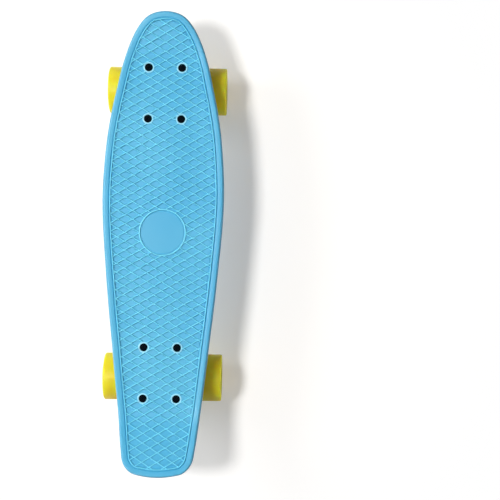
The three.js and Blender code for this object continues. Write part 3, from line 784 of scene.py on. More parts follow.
def dress_and_ride(node, mesh, matrix, finishes, slot, sharp=SHARP):
    piece = dress(node, mesh, matrix, finishes, slot, sharp)
    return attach(piece, frame["nodes"][node]["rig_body"])


def paint_middle(mesh, radius, top=math.inf):
    """Gives the faces near the axis, below a height, the piece's second finish."""
    for polygon in mesh.polygons:
        middle = polygon.center
        if math.hypot(middle.x, middle.y) < radius and middle.z < top:
            polygon.material_index = 1


# Deck
def centripetal(p0, p1, p2, p3, t):
    d0, d1, d2 = ((b - a).length ** 0.5 for a, b in ((p0, p1), (p1, p2), (p2, p3)))
    m1 = ((p1 - p0) / d0 - (p2 - p0) / (d0 + d1) + (p2 - p1) / d1) * d1
    m2 = ((p2 - p1) / d1 - (p3 - p1) / (d1 + d2) + (p3 - p2) / d2) * d1
    bend = (p2 - p1) * 3 - m1 * 2 - m2 + ((p1 - p2) * 2 + m1 + m2) * t
    return p1 + (m1 + bend * t) * t


def spline(points, steps, closed):
    """A smooth curve through plan points."""
    count = len(points)
    if closed:
        around = [points[-1], *points, points[0], points[1]]
    else:
        around = [points[0] * 2 - points[1], *points, points[-1] * 2 - points[-2]]
    curve = []
    for i in range(count if closed else count - 1):
        curve += [centripetal(*around[i:i + 4], k / steps) for k in range(steps)]
    return curve if closed else [*curve, points[-1]]


def plan_outline():
    side = [
        Vector((half * DECK_WIDTH / 2, along * DECK_LENGTH - HALF_LENGTH))
        for along, half in [(0, 0), *PLAN_SHARES, (1, 0)]
    ]
    mirrored = [Vector((-p.x, p.y)) for p in side[-2:0:-1]]
    return spline([*side, *mirrored], OUTLINE_STEPS, True)


OUTLINE = plan_outline()
HALF_COUNT = len(OUTLINE) // 2


def inset_ring(inset):
    ring = []
    for i, point in enumerate(OUTLINE):
        along = (OUTLINE[(i + 1) % len(OUTLINE)] - OUTLINE[i - 1]).normalized()
        ring.append(Vector((point.x - along.y * inset, point.y + along.x * inset)))
    return ring


def half_widths(ring):
    """The heights along Y and the half widths of a ring's right side, for np.interp."""
    side = ring[:HALF_COUNT + 1]
    return np.array([p.y for p in side]), np.array([max(p.x, 0) for p in side])


PLAN_Y, PLAN_HALF = half_widths(OUTLINE)


def bend_rise(distance, slope, radius):
    """A flat run, then a round bend into a straight slope."""
    run = slope * radius
    past = np.maximum(distance, 0)
    bend = np.minimum(past, run)
    return bend ** 2 / (2 * radius) + slope * (past - bend)


def deck_rise(x, y):
    nose = bend_rise(NOSE_FLAT_END - (y + HALF_LENGTH), NOSE_SLOPE, NOSE_BEND_RADIUS)
    tail = bend_rise(TAIL_FLAT_END - (HALF_LENGTH - y), TAIL_SLOPE, TAIL_BEND_RADIUS)
    run = np.maximum(np.interp(y, PLAN_Y, PLAN_HALF) - FLAT_HALF_WIDTH, SIDE_RUN_LEAST)
    side = np.maximum(np.abs(x) - FLAT_HALF_WIDTH, 0) / run
    return nose + tail + SIDE_RISE * side ** 2


def on_deck(points, heights):
    """Lifts plan points to heights above the deck's underside."""
    x = np.array([p[0] for p in points])
    y = np.array([p[1] for p in points])
    z = MOUNT_Z + np.asarray(heights) + deck_rise(x, y)
    return [tuple(v) for v in np.stack([x, y, z], 1).tolist()]


def inner_ring(edge, share):
    start = NOSE_SPINE_INSET - HALF_LENGTH
    end = HALF_LENGTH - TAIL_SPINE_INSET
    return [Vector((0, min(max(p.y, start), end))).lerp(p, share) for p in edge]


def deck_sheet():
    rim_top = FLOOR_THICKNESS + RIM_STEP
    crest = FLOOR_THICKNESS + RIM_BEAD_HEIGHT
    groove = FLOOR_THICKNESS + RIM_GROOVE_RISE
    crest_in = RIM_BEAD_INSET + RIM_BEAD_CREST_HALF
    crest_out = RIM_BEAD_INSET - RIM_BEAD_CREST_HALF
    floor_inset = crest_in + RIM_BEAD_RUN
    groove_inset = crest_out - RIM_BEAD_RUN
    groove_end = floor_inset + 2 * INNER_GROOVE_HALF
    inner_groove = FLOOR_THICKNESS - INNER_GROOVE_DEPTH
    edge = rounded([
        (groove_end + 2 * INNER_GROOVE_RUN, FLOOR_THICKNESS),
        (groove_end + INNER_GROOVE_RUN, FLOOR_THICKNESS, FOOT_ROUND),
        (groove_end, inner_groove, FOOT_ROUND), (floor_inset, inner_groove, FOOT_ROUND),
        (crest_in, crest, CREST_ROUND), (crest_out, crest, CREST_ROUND),
        (groove_inset, groove, CREST_ROUND), (groove_inset - RIM_GROOVE_RUN, rim_top, RIM_ROUND),
        (EDGE_LEAN_RUN, rim_top, EDGE_ROUND), (0, EDGE_LEAN_START, EDGE_ROUND), (0, 0, UNDER_ROUND),
        (floor_inset, 0),
    ])
    floor_edge = inset_ring(edge[0][0])
    under_edge = inset_ring(edge[-1][0])
    rings = [on_deck(inner_ring(floor_edge, share), FLOOR_THICKNESS) for share in INNER_SHARES]
    rings += [on_deck(inset_ring(inset), height) for inset, height in edge]
    rings += [on_deck(inner_ring(under_edge, share), 0) for share in reversed(INNER_SHARES)]
    return mesh_from(*loft(rings, capped=False))


def swept(path, sections):
    """Bars that follow the deck: plan points with one (across, up) section for each."""
    rings = []
    for i, (point, section) in enumerate(zip(path, sections)):
        along = (path[min(i + 1, len(path) - 1)] - path[max(i - 1, 0)]).normalized()
        ring = [(point.x + along.y * across, point.y - along.x * across) for across, up in section]
        rings.append(on_deck(ring, [up for across, up in section]))
    return loft(rings)


def stacked(parts):
    """One mesh of many separate (verts, faces) parts."""
    verts, faces = [], []
    for part_verts, part_faces in parts:
        start = len(verts)
        verts += part_verts
        faces += [[start + i for i in face] for face in part_faces]
    return mesh_from(verts, faces)


RIDGE_SECTION = rounded(both_sides([
    (RIDGE_HALF_WIDTH, FLOOR_THICKNESS - RIDGE_ROOT), (RIDGE_HALF_WIDTH, FLOOR_THICKNESS),
    (RIDGE_CREST_HALF, FLOOR_THICKNESS + RIDGE_HEIGHT, CREST_ROUND),
]), steps=2)


def middle_of(node):
    low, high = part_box(node)
    return (low + high) / 2 / MM


BOLT_PLACES = {
    node.removeprefix("bolt_"): middle_of(node) for node in frame["nodes"] if node.startswith("bolt_")
}


def grip_runs(sign):
    """The straight runs of one family of ridges, between the rim, the disc and the bolt pads."""
    edge_y, edge_half = half_widths(inset_ring(RIM_BEAD_INSET + RIM_BEAD_RUN / 2))
    step = Vector((math.cos(RIDGE_LEAN), sign * math.sin(RIDGE_LEAN)))
    reach = np.arange(-RIDGE_REACH, RIDGE_REACH, RIDGE_SAMPLE)
    first = math.floor((-HALF_LENGTH - RIDGE_SPILL - RIDGE_START[1]) / RIDGE_PITCH_ALONG)
    last = math.ceil((HALF_LENGTH + RIDGE_SPILL - RIDGE_START[1]) / RIDGE_PITCH_ALONG)
    for k in range(first, last + 1):
        start_y = RIDGE_START[1] + k * RIDGE_PITCH_ALONG
        x = RIDGE_START[0] + step.x * reach
        y = start_y + step.y * reach
        inside = np.abs(x) < np.interp(y, edge_y, edge_half, left=0, right=0)
        inside &= x ** 2 + (y - DISC_Y) ** 2 > DISC_RADIUS ** 2
        for place in BOLT_PLACES.values():
            inside &= np.hypot(x - place.x, y - place.y) > PAD_RADIUS - PAD_SLOPE / 2
        changes = np.flatnonzero(np.diff(np.concatenate([[0], inside.astype(int), [0]])))
        for low, high in zip(changes[::2], changes[1::2] - 1):
            if reach[high] - reach[low] > RIDGE_HALF_WIDTH:
                a = Vector((x[low], y[low]))
                yield a, Vector((x[high], y[high]))


def grip_ridges(sign):
    bars = []
    for start, end in grip_runs(sign):
        count = max(1, round((end - start).length / RIDGE_STEP))
        path = [start.lerp(end, k / count) for k in range(count + 1)]
        bars.append(swept(path, [RIDGE_SECTION] * len(path)))
    return stacked(bars)


def disc_bead():
    """The smooth round disc and the bead round it."""
    top = MOUNT_Z + FLOOR_THICKNESS
    inner_foot = DISC_RADIUS - BEAD_HALF_WIDTH
    groove_end = inner_foot - 2 * DISC_GROOVE_HALF
    profile = rounded([
        (0, top - RIDGE_ROOT), (DISC_RADIUS + BEAD_HALF_WIDTH, top - RIDGE_ROOT),
        (DISC_RADIUS + BEAD_HALF_WIDTH, top, FOOT_ROUND),
        (DISC_RADIUS + BEAD_CREST_HALF, top + BEAD_HEIGHT, CREST_ROUND),
        (DISC_RADIUS - BEAD_CREST_HALF, top + BEAD_HEIGHT, CREST_ROUND),
        (inner_foot, top + DISC_GROOVE_RISE, FOOT_ROUND),
        (groove_end, top + DISC_GROOVE_RISE, FOOT_ROUND),
        (groove_end - DISC_GROOVE_RUN, top + DISC_RISE, FOOT_ROUND),
        (groove_end - 2 * DISC_GROOVE_RUN, top + DISC_RISE), (0, top + DISC_RISE),
    ], steps=2)
    return moved(turned(profile, FINE_SEGMENTS), Matrix.Translation((0, DISC_Y, 0)))


def at_bolts(profile):
    """The same turned piece at every mounting bolt."""
    return joined([
        moved(turned(profile, SMALL_SEGMENTS), Matrix.Translation((place.x, place.y, 0)))
        for place in BOLT_PLACES.values()
    ])


def bolt_pads():
    top = MOUNT_Z + PAD_TOP
    floor = top - PAD_HEIGHT
    return at_bolts(rounded([
        (0, floor - RIDGE_ROOT), (PAD_RADIUS, floor - RIDGE_ROOT), (PAD_RADIUS, floor),
        (PAD_RADIUS - PAD_SLOPE, top, CREST_ROUND), (0, top),
    ], steps=2))


def bolt_holes():
    hole = BOLT_RADIUS + SEAT_GAP
    mouth = BOLT_HEAD_RADIUS + SEAT_GAP
    low, top = MOUNT_Z - OVERRUN, MOUNT_Z + BOLT_HEAD_TOP
    return at_bolts([
        (0, low), (hole, low), (hole, top - BOLT_HEAD_HEIGHT), (mouth, top),
        (mouth, top + PAD_STEP / 2), (mouth + HOLE_FLARE, MOUNT_Z + PAD_TOP + HOLE_RISE),
        (mouth + HOLE_FLARE, top + OVERRUN), (0, top + OVERRUN),
    ])


def ease(share):
    share = min(max(share, 0), 1)
    return share * share * (3 - 2 * share)


def under_rib(path):
    """A rib under the deck, which thins out and sinks away at both ends."""
    lengths = [0]
    for a, b in zip(path, path[1:]):
        lengths.append(lengths[-1] + (b - a).length)
    sections = []
    for length in lengths:
        share = ease(min(length, lengths[-1] - length) / RIB_TAPER)
        width = RIB_END_SHARE + (1 - RIB_END_SHARE) * share
        height = RIB_HEIGHT * share - RIB_ROOT / 2 * (1 - share)
        foot = RIB_HALF_WIDTH * width
        crown = RIB_CROWN_HALF * width
        sections.append(rounded(both_sides([
            (foot, RIB_ROOT), (foot, 0, RIB_FOOT_ROUND), (crown, -height, RIB_CROWN_ROUND),
        ]), steps=3))
    return mesh_from(*swept(path, sections))


def straight_rib(side):
    start, end = (Vector((side * STRAIGHT_RIB_X, y)) for y in (RIB_START, RIB_END))
    return under_rib([start.lerp(end, k / RIB_STEPS) for k in range(RIB_STEPS + 1)])


def curved_rib(side):
    control = [
        Vector((side * CURVED_RIB_SPREAD * spread, RIB_START + (RIB_END - RIB_START) * along))
        for spread, along in CURVED_RIB_SHARES
    ]
    return under_rib(spline(control, CURVED_RIB_STEPS, False))


def sunk_panel(ends, halves, radii, depth, steps):
    """A cutter for a panel in the deck's underside, from its (y, half width, radius) at both ends."""
    corners = both_sides(list(zip(halves, ends, radii)))
    middle = sum(ends) / 2
    rings = []
    for up, shrink in ((-OVERRUN, 0), (0, 0), (depth, depth)):
        ring = rounded([
            (x - math.copysign(shrink, x), y - math.copysign(shrink, y - middle), radius)
            for x, y, radius in corners
        ], closed=True, steps=steps)
        rings.append([(x, y, MOUNT_Z + up + float(deck_rise(0, y))) for x, y in ring])
    return mesh_from(*loft(rings))


def mark_recess():
    profile = [
        (0, MOUNT_Z - OVERRUN), (MARK_RADIUS, MOUNT_Z - OVERRUN), (MARK_RADIUS, MOUNT_Z),
        (MARK_RADIUS - PANEL_DEPTH, MOUNT_Z + PANEL_DEPTH), (0, MOUNT_Z + PANEL_DEPTH),
    ]
    return moved(turned(profile, SMALL_SEGMENTS), Matrix.Translation((0, MARK_Y, 0)))


def mark_painted_highlights(mesh):
    """Stores how far each point stands up from the floor inside the rim, as the strength of the painted
    highlight on the crests, made stronger on the bolt pads.
    """
    places = np.empty(3 * len(mesh.vertices))
    mesh.vertices.foreach_get("co", places)
    x, y, z = places.reshape(-1, 3).T
    edge_y, edge_half = half_widths(inset_ring(RIM_BEAD_INSET - RIM_BEAD_RUN))
    inside = np.abs(x) < np.interp(y, edge_y, edge_half, left=0, right=0)
    lift = np.clip((z - MOUNT_Z - FLOOR_THICKNESS - deck_rise(x, y)) / RIDGE_HEIGHT, 0, 1)
    # The painted highlight is stronger on the tops of the bolt pads
    highlight_radius = PAD_RADIUS - PAD_SLOPE * PAD_HIGHLIGHT_SHARE
    for place in BOLT_PLACES.values():
        lift[np.hypot(x - place.x, y - place.y) < highlight_radius] *= PAD_HIGHLIGHT_BOOST
    crest = mesh.attributes.new(HIGHLIGHT_ATTRIBUTE, "FLOAT", "POINT")
    crest.data.foreach_set("value", np.where(inside, lift, 0))


def make_deck():
    ribs = [shape(side) for shape in (straight_rib, curved_rib) for side in (-1, 1)]
    deck = united(deck_sheet(), grip_ridges(1), grip_ridges(-1), disc_bead(), bolt_pads(), *ribs)
    centre_panel = sunk_panel(PANEL_ENDS, PANEL_HALVES, PANEL_CORNERS, PANEL_DEPTH, steps=8)
    tail_panel = sunk_panel(
        TAIL_PANEL_ENDS, TAIL_PANEL_HALVES, TAIL_PANEL_CORNERS, TAIL_PANEL_DEPTH, steps=4)
    deck = cut(deck, bolt_holes(), centre_panel, mark_recess(), tail_panel)
    mark_painted_highlights(deck)
    dress_and_ride("deck", deck, Matrix.Identity(4), ["blue"], "deck_plastic", sharp=DECK_SHARP)


# Fasteners
def cross_recess():
    """A cutter for the cross in a screw head, pointed at its bottom."""
    quarter = [(CROSS_WING, -CROSS_HALF), (CROSS_WING, -CROSS_WING), (CROSS_HALF, -CROSS_WING)]
    outline = []
    for _ in range(4):
        outline += quarter
        quarter = [(-y, x) for x, y in quarter]
    levels = ((CROSS_TIP_SHARE, -CROSS_DEPTH), (1, 0), (CROSS_MOUTH_SHARE, OVERRUN))
    rings = [[(x * s, y * s, z) for x, y in outline] for s, z in levels]
    return moved(mesh_from(*loft(rings)), Matrix.Translation((0, 0, BOLT_HEAD_TOP)))


def bolt_mesh():
    head = turned(rounded([
        (0, LOCK_NUT_LOW), (BOLT_RADIUS, LOCK_NUT_LOW),
        (BOLT_RADIUS, BOLT_HEAD_TOP - BOLT_HEAD_HEIGHT, BOLT_NECK_ROUND),
        (BOLT_HEAD_RADIUS, BOLT_HEAD_TOP - BOLT_EDGE, BOLT_EDGE_ROUND),
        (BOLT_HEAD_RADIUS - BOLT_EDGE, BOLT_HEAD_TOP, BOLT_TOP_ROUND), (0, BOLT_HEAD_TOP),
    ], steps=2), SMALL_SEGMENTS)
    end = LOCK_NUT_LOW - BOLT_END_PAST_NUT
    thread = threaded(BOLT_RADIUS, end, LOCK_NUT_LOW + THREAD_LAP, BOLT_PITCH, BOLT_TIP)
    return cut(united(head, thread), cross_recess())


def lock_nut_mesh(flats, height, shank_radius):
    """A hexagon nut with chamfered ends and a round collar that holds its nylon ring, facing down."""
    corner = flats / math.sqrt(3)
    half = flats / 2
    hex_low = height * COLLAR_SHARE
    collar_top = hex_low + COLLAR_SINK
    body = hexagonal(flats, [
        (0, hex_low), (half * NUT_LOW_SHARE, hex_low), (corner, hex_low + (corner - half)),
        (corner, height - (corner - half) * NUT_SLOPE_SHARE), (half * NUT_HIGH_SHARE, height), (0, height),
    ])
    neck = turned(rounded([
        (0, 0), (half * COLLAR_LIP_SHARE, 0, COLLAR_LIP_ROUND),
        (half * COLLAR_WAIST_SHARE, hex_low * COLLAR_RISE_SHARE, COLLAR_WAIST_ROUND),
        (half * COLLAR_FOOT_SHARE, collar_top), (0, collar_top),
    ]), SMALL_SEGMENTS)
    bore = rod(shank_radius + SEAT_GAP / 2, -OVERRUN, height + OVERRUN, SMALL_SEGMENTS)
    nut = cut(united(body, neck), bore)
    paint_middle(nut, half * NYLON_RADIUS_SHARE, hex_low * NYLON_HEIGHT_SHARE)
    return nut


def dress_nut(node, mesh, matrix):
    dress_and_ride(node, mesh, matrix, ["bright", "collar"], "nut_steel")


def make_deck_fasteners():
    bolt = bolt_mesh()
    nut = lock_nut_mesh(LOCK_NUT_FLATS, LOCK_NUT_HEIGHT, BOLT_RADIUS)
    for turn, (name, place) in enumerate(sorted(BOLT_PLACES.items())):
        spin = Matrix.Rotation(turn * BOLT_SPIN, 4, "Z")
        nut_spin = Matrix.Rotation(turn * LOCK_NUT_SPIN, 4, "Z")
        at_bolt = Matrix.Translation((place.x, place.y, MOUNT_Z)) @ spin
        at_nut = Matrix.Translation((place.x, place.y, MOUNT_Z + LOCK_NUT_LOW)) @ nut_spin
        dress_and_ride(f"bolt_{name}", bolt.copy(), at_bolt, ["black"], "bolt_black")
        dress_nut(f"lock_nut_{name}", nut.copy(), at_nut)


# Trucks
def truck_matrix(truck):
    """Where a truck's own frame stands on the board, in millimetres."""
    places = [place for name, place in BOLT_PLACES.items() if name.startswith(truck)]
    middle = sum(place.y for place in places) / len(places)
    turn = math.pi if truck == "front" else 0
    return Matrix.Translation((0, middle, MOUNT_Z)) @ Matrix.Rotation(turn, 4, "Z")


def plate_outline():
    half_x, half_y = PLATE_WIDTH / 2, PLATE_LENGTH / 2
    notch, recess = NOTCH_WIDTH / 2, END_RECESS_WIDTH / 2
    corners = both_sides([
        (notch, -half_y + NOTCH_DEPTH, NOTCH_ROUND), (notch, -half_y, PLATE_TURN),
        (half_x, -half_y, PLATE_CORNER), (half_x, half_y, PLATE_CORNER), (recess, half_y, PLATE_TURN),
        (recess, half_y - END_RECESS_DEPTH, PLATE_TURN),
    ])
    return rounded(corners, closed=True, steps=5)


def baseplate_mesh():
    plate = prism(plate_outline(), -PLATE_THICKNESS, -SEAT_GAP)
    inset_half = PLATE_WIDTH / 2 - RAIL_WIDTH
    inset = block(inset_half, INSET_LENGTH / 2, -PLATE_THICKNESS - OVERRUN, -PLATE_THICKNESS + INSET_DEPTH)
    boss = turned(rounded([
        (0, -KINGPIN_BOSS_HEIGHT), (KINGPIN_BOSS_RADIUS, -KINGPIN_BOSS_HEIGHT, BOSS_ROUND),
        (KINGPIN_BOSS_RADIUS + BOSS_SPREAD, PLATE_THICKNESS / 2), (0, PLATE_THICKNESS / 2),
    ]))
    pivot_boss = turned(rounded([
        (0, -PIVOT_BOSS_INNER), (PIVOT_BOSS_RADIUS, -PIVOT_BOSS_INNER, BOSS_ROUND),
        (PIVOT_BOSS_RADIUS, PIVOT_BOSS_OUTER, PIVOT_BOSS_ROUND), (0, PIVOT_BOSS_OUTER),
    ]))
    body = cut(plate, inset)
    body = united(body, moved(boss, ON_KINGPIN), moved(pivot_boss, ON_STEER))
    body = cast(body, *PLATE_CAST)
    tools = [block(PLATE_LENGTH, PLATE_LENGTH, -SEAT_GAP, PLATE_LENGTH)]
    bore_low = -KINGPIN_BOSS_HEIGHT - OVERRUN
    tools.append(moved(rod(KINGPIN_RADIUS + SEAT_GAP, bore_low, PLATE_THICKNESS), ON_KINGPIN))
    head_low = PLATE_THICKNESS - KINGPIN_HEAD_SINK - KINGPIN_HEAD_HEIGHT - SEAT_GAP
    pocket = hexagon_bar(KINGPIN_HEAD_FLATS + 2 * SEAT_GAP, head_low, PLATE_THICKNESS + OVERRUN)
    tools.append(moved(pocket, ON_KINGPIN))
    seat = STEM_RADIUS + SLIP_GAP + CUP_WALL + SEAT_GAP
    tools.append(moved(rod(seat, -PIVOT_BOSS_INNER - OVERRUN, seat), ON_STEER))
    for x in (-BOLT_SPAN_ACROSS / 2, BOLT_SPAN_ACROSS / 2):
        for y in (-BOLT_SPAN_ALONG / 2, BOLT_SPAN_ALONG / 2):
            hole = rod(BOLT_RADIUS + SEAT_GAP, -PLATE_THICKNESS - OVERRUN, OVERRUN, BOLT_SEGMENTS)
            tools.append(moved(hole, Matrix.Translation((x, y, 0))))
    return cut(body, *tools)


def kingpin_mesh():
    head_top = PLATE_THICKNESS - KINGPIN_HEAD_SINK
    head_low = head_top - KINGPIN_HEAD_HEIGHT
    thread_top = -KINGPIN_NUT_START + KINGPIN_THREAD_RISE
    shank = rod(KINGPIN_RADIUS, thread_top - KINGPIN_THREAD_LAP, head_top - KINGPIN_HEAD_HEIGHT / 2)
    thread = threaded(
        KINGPIN_RADIUS, -KINGPIN_LENGTH, thread_top, KINGPIN_PITCH, KINGPIN_TIP, SMALL_SEGMENTS)
    corner = KINGPIN_HEAD_FLATS / math.sqrt(3)
    head = hexagonal(KINGPIN_HEAD_FLATS, [
        (0, head_low), (corner, head_low), (corner, head_top - KINGPIN_HEAD_EDGE),
        (KINGPIN_HEAD_FLATS / 2 * KINGPIN_HEAD_SHARE, head_top), (0, head_top),
    ])
    return united(shank, thread, head)


def washer_mesh(start, radius, face):
    """A cupped washer; face is 1 where its lip stands up and -1 where it hangs down."""
    bore = KINGPIN_RADIUS + SEAT_GAP
    middle = -start - WASHER_THICKNESS / 2
    half = face * WASHER_THICKNESS / 2
    lip = radius + WASHER_LIP_WALL
    crest = middle + half + face * WASHER_LIP
    profile = rounded([
        (bore, middle - half, WASHER_BORE_ROUND), (lip, middle - half, WASHER_TURN),
        (lip, crest, WASHER_LIP_ROUND), (radius, crest, WASHER_LIP_ROUND),
        (radius, middle + half, WASHER_CORNER), (bore, middle + half, WASHER_BORE_ROUND),
    ], closed=True)
    return turned(profile)


def bushing_mesh(low, high, radii, edge, bulge, fade):
    """A bushing between its lower and upper radius, with an (in, up) edge; a bulge can fade upward."""
    bore = KINGPIN_RADIUS + SEAT_GAP
    height = high - low
    shares = [k / BUSHING_ROWS for k in range(BUSHING_ROWS + 1)]
    profile = [(bore, low), (radii[0] - edge[0], low)]
    for share in shares:
        swell = bulge * math.sin(math.pi * share) * (1 - share) ** fade
        radius = radii[0] + (radii[1] - radii[0]) * share + swell
        profile.append((radius, low + edge[1] + (height - 2 * edge[1]) * share))
    profile += [(radii[1] - edge[0], high), (bore, high)]
    profile += [(bore, high - height * share) for share in shares[1:-1]]
    return turned(profile)


def beam(*ends):
    """A flat bar between two ends, each a point, its place across, a half width and a depth."""
    run = (ends[1][0] - ends[0][0]).normalized()
    across = Vector((0, -run.z, run.y))
    rings = []
    for point, x, half, depth in ends:
        low = point - across * depth / 2
        high = point + across * depth / 2
        rings.append([
            (x - half, low.y, low.z), (x + half, low.y, low.z),
            (x + half, high.y, high.z), (x - half, high.y, high.z),
        ])
    return mesh_from(*loft(rings))


def hanger_stem():
    profile = [
        (0, -STEM_LENGTH - STEM_FLARE_LENGTH), (STEM_FLARE_RADIUS, -STEM_LENGTH - STEM_FLARE_LENGTH),
        (STEM_RADIUS, -STEM_LENGTH), *arc(STEM_RADIUS, 0, 90, 8),
    ]
    profile[-1] = (0, STEM_RADIUS)
    return moved(turned(profile, SMALL_SEGMENTS), ON_STEER)


def hanger_mesh():
    half = RING_THICKNESS / 2
    ring = moved(rod(RING_RADIUS, -half, half), ON_RING)
    tube = moved(rod(TUBE_RADIUS, -TUBE_HALF, TUBE_HALF), ON_AXLE)
    arm_start = RING_POINT + Vector((0, half, 0))
    arm_half = ARM_THICKNESS / 2
    arms = [
        beam((arm_start, side * ARM_RING_SPREAD, arm_half, ARM_RING_DEPTH),
             (AXLE_POINT, side * ARM_TUBE_SPREAD, arm_half, ARM_TUBE_DEPTH))
        for side in (-1, 1)
    ]
    stem_base = PIVOT_POINT - STEER_DIRECTION * (STEM_LENGTH + STEM_FLARE_LENGTH / 2)
    wall_drop = STEM_LENGTH + STEM_FLARE_LENGTH + BACK_WALL_THICKNESS / 2
    wall_top = PIVOT_POINT - STEER_DIRECTION * wall_drop
    wall = beam((AXLE_POINT, 0, ARM_TUBE_SPREAD, BACK_WALL_THICKNESS),
                (wall_top, 0, BACK_WALL_TOP_HALF, BACK_WALL_THICKNESS))
    roof_start = RING_POINT + Vector((0, BOTTOM_BUSHING_RADIUS + BUSHING_BULGE, half - ROOF_THICKNESS / 2))
    roof = beam((roof_start, 0, ROOF_HALF_WIDTH, ROOF_THICKNESS),
                (stem_base, 0, BACK_WALL_TOP_HALF, ROOF_THICKNESS))
    body = cast(united(ring, tube, *arms, wall, roof, hanger_stem()), *HANGER_CAST)
    bore = moved(rod(KINGPIN_RADIUS + RING_BORE_CLEARANCE, -RING_RADIUS, RING_RADIUS), ON_RING)
    axle_bore = moved(rod(INNER_BORE, -TUBE_HALF - OVERRUN, TUBE_HALF + OVERRUN), ON_AXLE)
    return cut(body, bore, axle_bore)


def pivot_cup_mesh():
    inner = STEM_RADIUS + SLIP_GAP
    outer = inner + CUP_WALL
    bowl = arc(inner, 90, 0, 8)
    bowl[0] = (0, inner)
    profile = rounded([
        (inner, -CUP_MOUTH), (outer, -CUP_MOUTH, CUP_MOUTH_ROUND), (outer, outer, CUP_END_ROUND),
        (0, outer),
    ]) + bowl
    return turned([*profile, (inner, -CUP_MOUTH + CUP_LIP)], SMALL_SEGMENTS)


def axle_mesh():
    thread_start = AXLE_HALF - AXLE_THREAD_LENGTH
    plain = thread_start + THREAD_LAP
    middle = rod(AXLE_RADIUS, -plain, plain, SMALL_SEGMENTS)
    low = threaded(AXLE_RADIUS, -AXLE_HALF, -thread_start, AXLE_PITCH, AXLE_TIP, SMALL_SEGMENTS)
    high = moved(low.copy(), Matrix.Rotation(math.pi, 4, "X"))
    return united(middle, low, high)


# Wheel sets, each about Z with its outer face up
def mirrored_side(side, middle=0):
    """The same corners on the other side of a height, in the opposite order."""
    return [(corner[0], 2 * middle - corner[1], *corner[2:]) for corner in reversed(side)]


def wheel_mesh():
    half = WHEEL_WIDTH / 2
    seat = BEARING_RADIUS + SLIP_GAP
    shoulder = BEARING_SPACER / 2 - SEAT_GAP
    seat_edge = BEARING_FACE + SEAT_DEPTH_SPARE
    lip_start = WHEEL_RADIUS - LIP_RADIUS
    side = [
        (HUB_WALL_RADIUS, shoulder), (seat, shoulder), (seat, seat_edge, SEAT_ROUND),
        (DISH_RADIUS, half - DISH_DEPTH, DISH_ROUND), (lip_start, half, FACE_ROUND),
        (WHEEL_RADIUS, half, LIP_RADIUS),
    ]
    corners = [*side, (WHEEL_RADIUS, 0), *mirrored_side(side)]
    return turned(rounded(corners, closed=True, steps=6), FINE_SEGMENTS)


def bearing_mesh():
    """A shielded bearing's outer ring, with its face up at the top of its width."""
    near = BEARING_SPACER / 2
    far = near + BEARING_WIDTH
    inner_wall = BEARING_RADIUS - OUTER_RACE_WALL
    raised = far - SHIELD_SINK * SHIELD_RAISED_SHARE
    seam = far - SHIELD_SEAM_SHARE * SHIELD_SINK
    side = [
        (SHIELD_RADIUS, far - SHIELD_SINK, SHIELD_ROUND),
        (SHIELD_RADIUS + SHIELD_STEP, raised, SHIELD_ROUND),
        (inner_wall - SHIELD_SEAM, raised, SHIELD_ROUND),
        (inner_wall - SHIELD_SEAM_END, seam, SHIELD_ROUND),
        (inner_wall, seam, RACE_EDGE), (inner_wall, far - RACE_EDGE, RACE_EDGE),
        (BEARING_RADIUS, far, BEARING_ROUND),
    ]
    corners = [*side, *mirrored_side(side, near + BEARING_WIDTH / 2)]
    mesh = turned(rounded(corners, closed=True, steps=3))
    paint_middle(mesh, inner_wall - SHIELD_EDGE)
    return mesh


def spacer_stack_mesh():
    end = BEARING_FACE + SPEED_WASHER_THICKNESS
    side = [
        (SPACER_RADIUS, BEARING_SPACER / 2), (INNER_RACE_RADIUS, BEARING_SPACER / 2),
        (INNER_RACE_RADIUS, BEARING_FACE, INNER_RACE_ROUND), (SPEED_WASHER_RADIUS, BEARING_FACE),
        (SPEED_WASHER_RADIUS, end, SPEED_WASHER_ROUND), (INNER_BORE, end, STACK_BORE_ROUND),
    ]
    return turned(rounded([*side, *mirrored_side(side)], closed=True, steps=3), SMALL_SEGMENTS)


def dress_wheel_set(name, hub):
    """hub places a piece made about Z with its outer face up."""
    flipped = hub @ Matrix.Rotation(math.pi, 4, "X")
    spin = Matrix.Rotation(len(name) * HUB_SPIN, 4, "Z")
    dress_and_ride(f"{name}_wheel", wheel_mesh(), hub, ["yellow"], "wheel_urethane")
    for place, matrix in (("outer", hub), ("inner", flipped)):
        node = f"{name}_{place}_bearing"
        dress_and_ride(node, bearing_mesh(), matrix, ["bright", "shield"], "bearing_steel")
    dress_and_ride(f"{name}_bearing_spacer_stack", spacer_stack_mesh(), hub, ["machined"], "bearing_steel")
    nut = lock_nut_mesh(AXLE_NUT_FLATS, AXLE_NUT_HEIGHT, AXLE_RADIUS)
    nut_start = BEARING_FACE + SPEED_WASHER_THICKNESS + SEAT_GAP
    outward = Matrix.Translation((0, 0, nut_start + AXLE_NUT_HEIGHT)) @ Matrix.Rotation(math.pi, 4, "X")
    dress_nut(f"{name}_axle_nut", nut, hub @ spin @ outward)


def dress_bushing(truck, matrix, name, low, high, radii, edge, bulge, fade, fixed, moving):
    """Shows a bushing in its place on the kingpin, with the place baked into its mesh; the ends where the
    washer holds it still and the ring tilts on it are worked out but not used.
    """
    mesh = bushing_mesh(-low, -high, radii, edge, bulge, fade)
    piece = dress(
        f"{truck}_{name}_bushing", mesh, matrix, ["amber"], "bushing_urethane", sharp=CAST_SHARP)
    start, end = (matrix @ Vector((0, 0, -depth)) * MM for depth in (fixed, moving))
    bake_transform(piece)
    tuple(start)
    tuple(end)


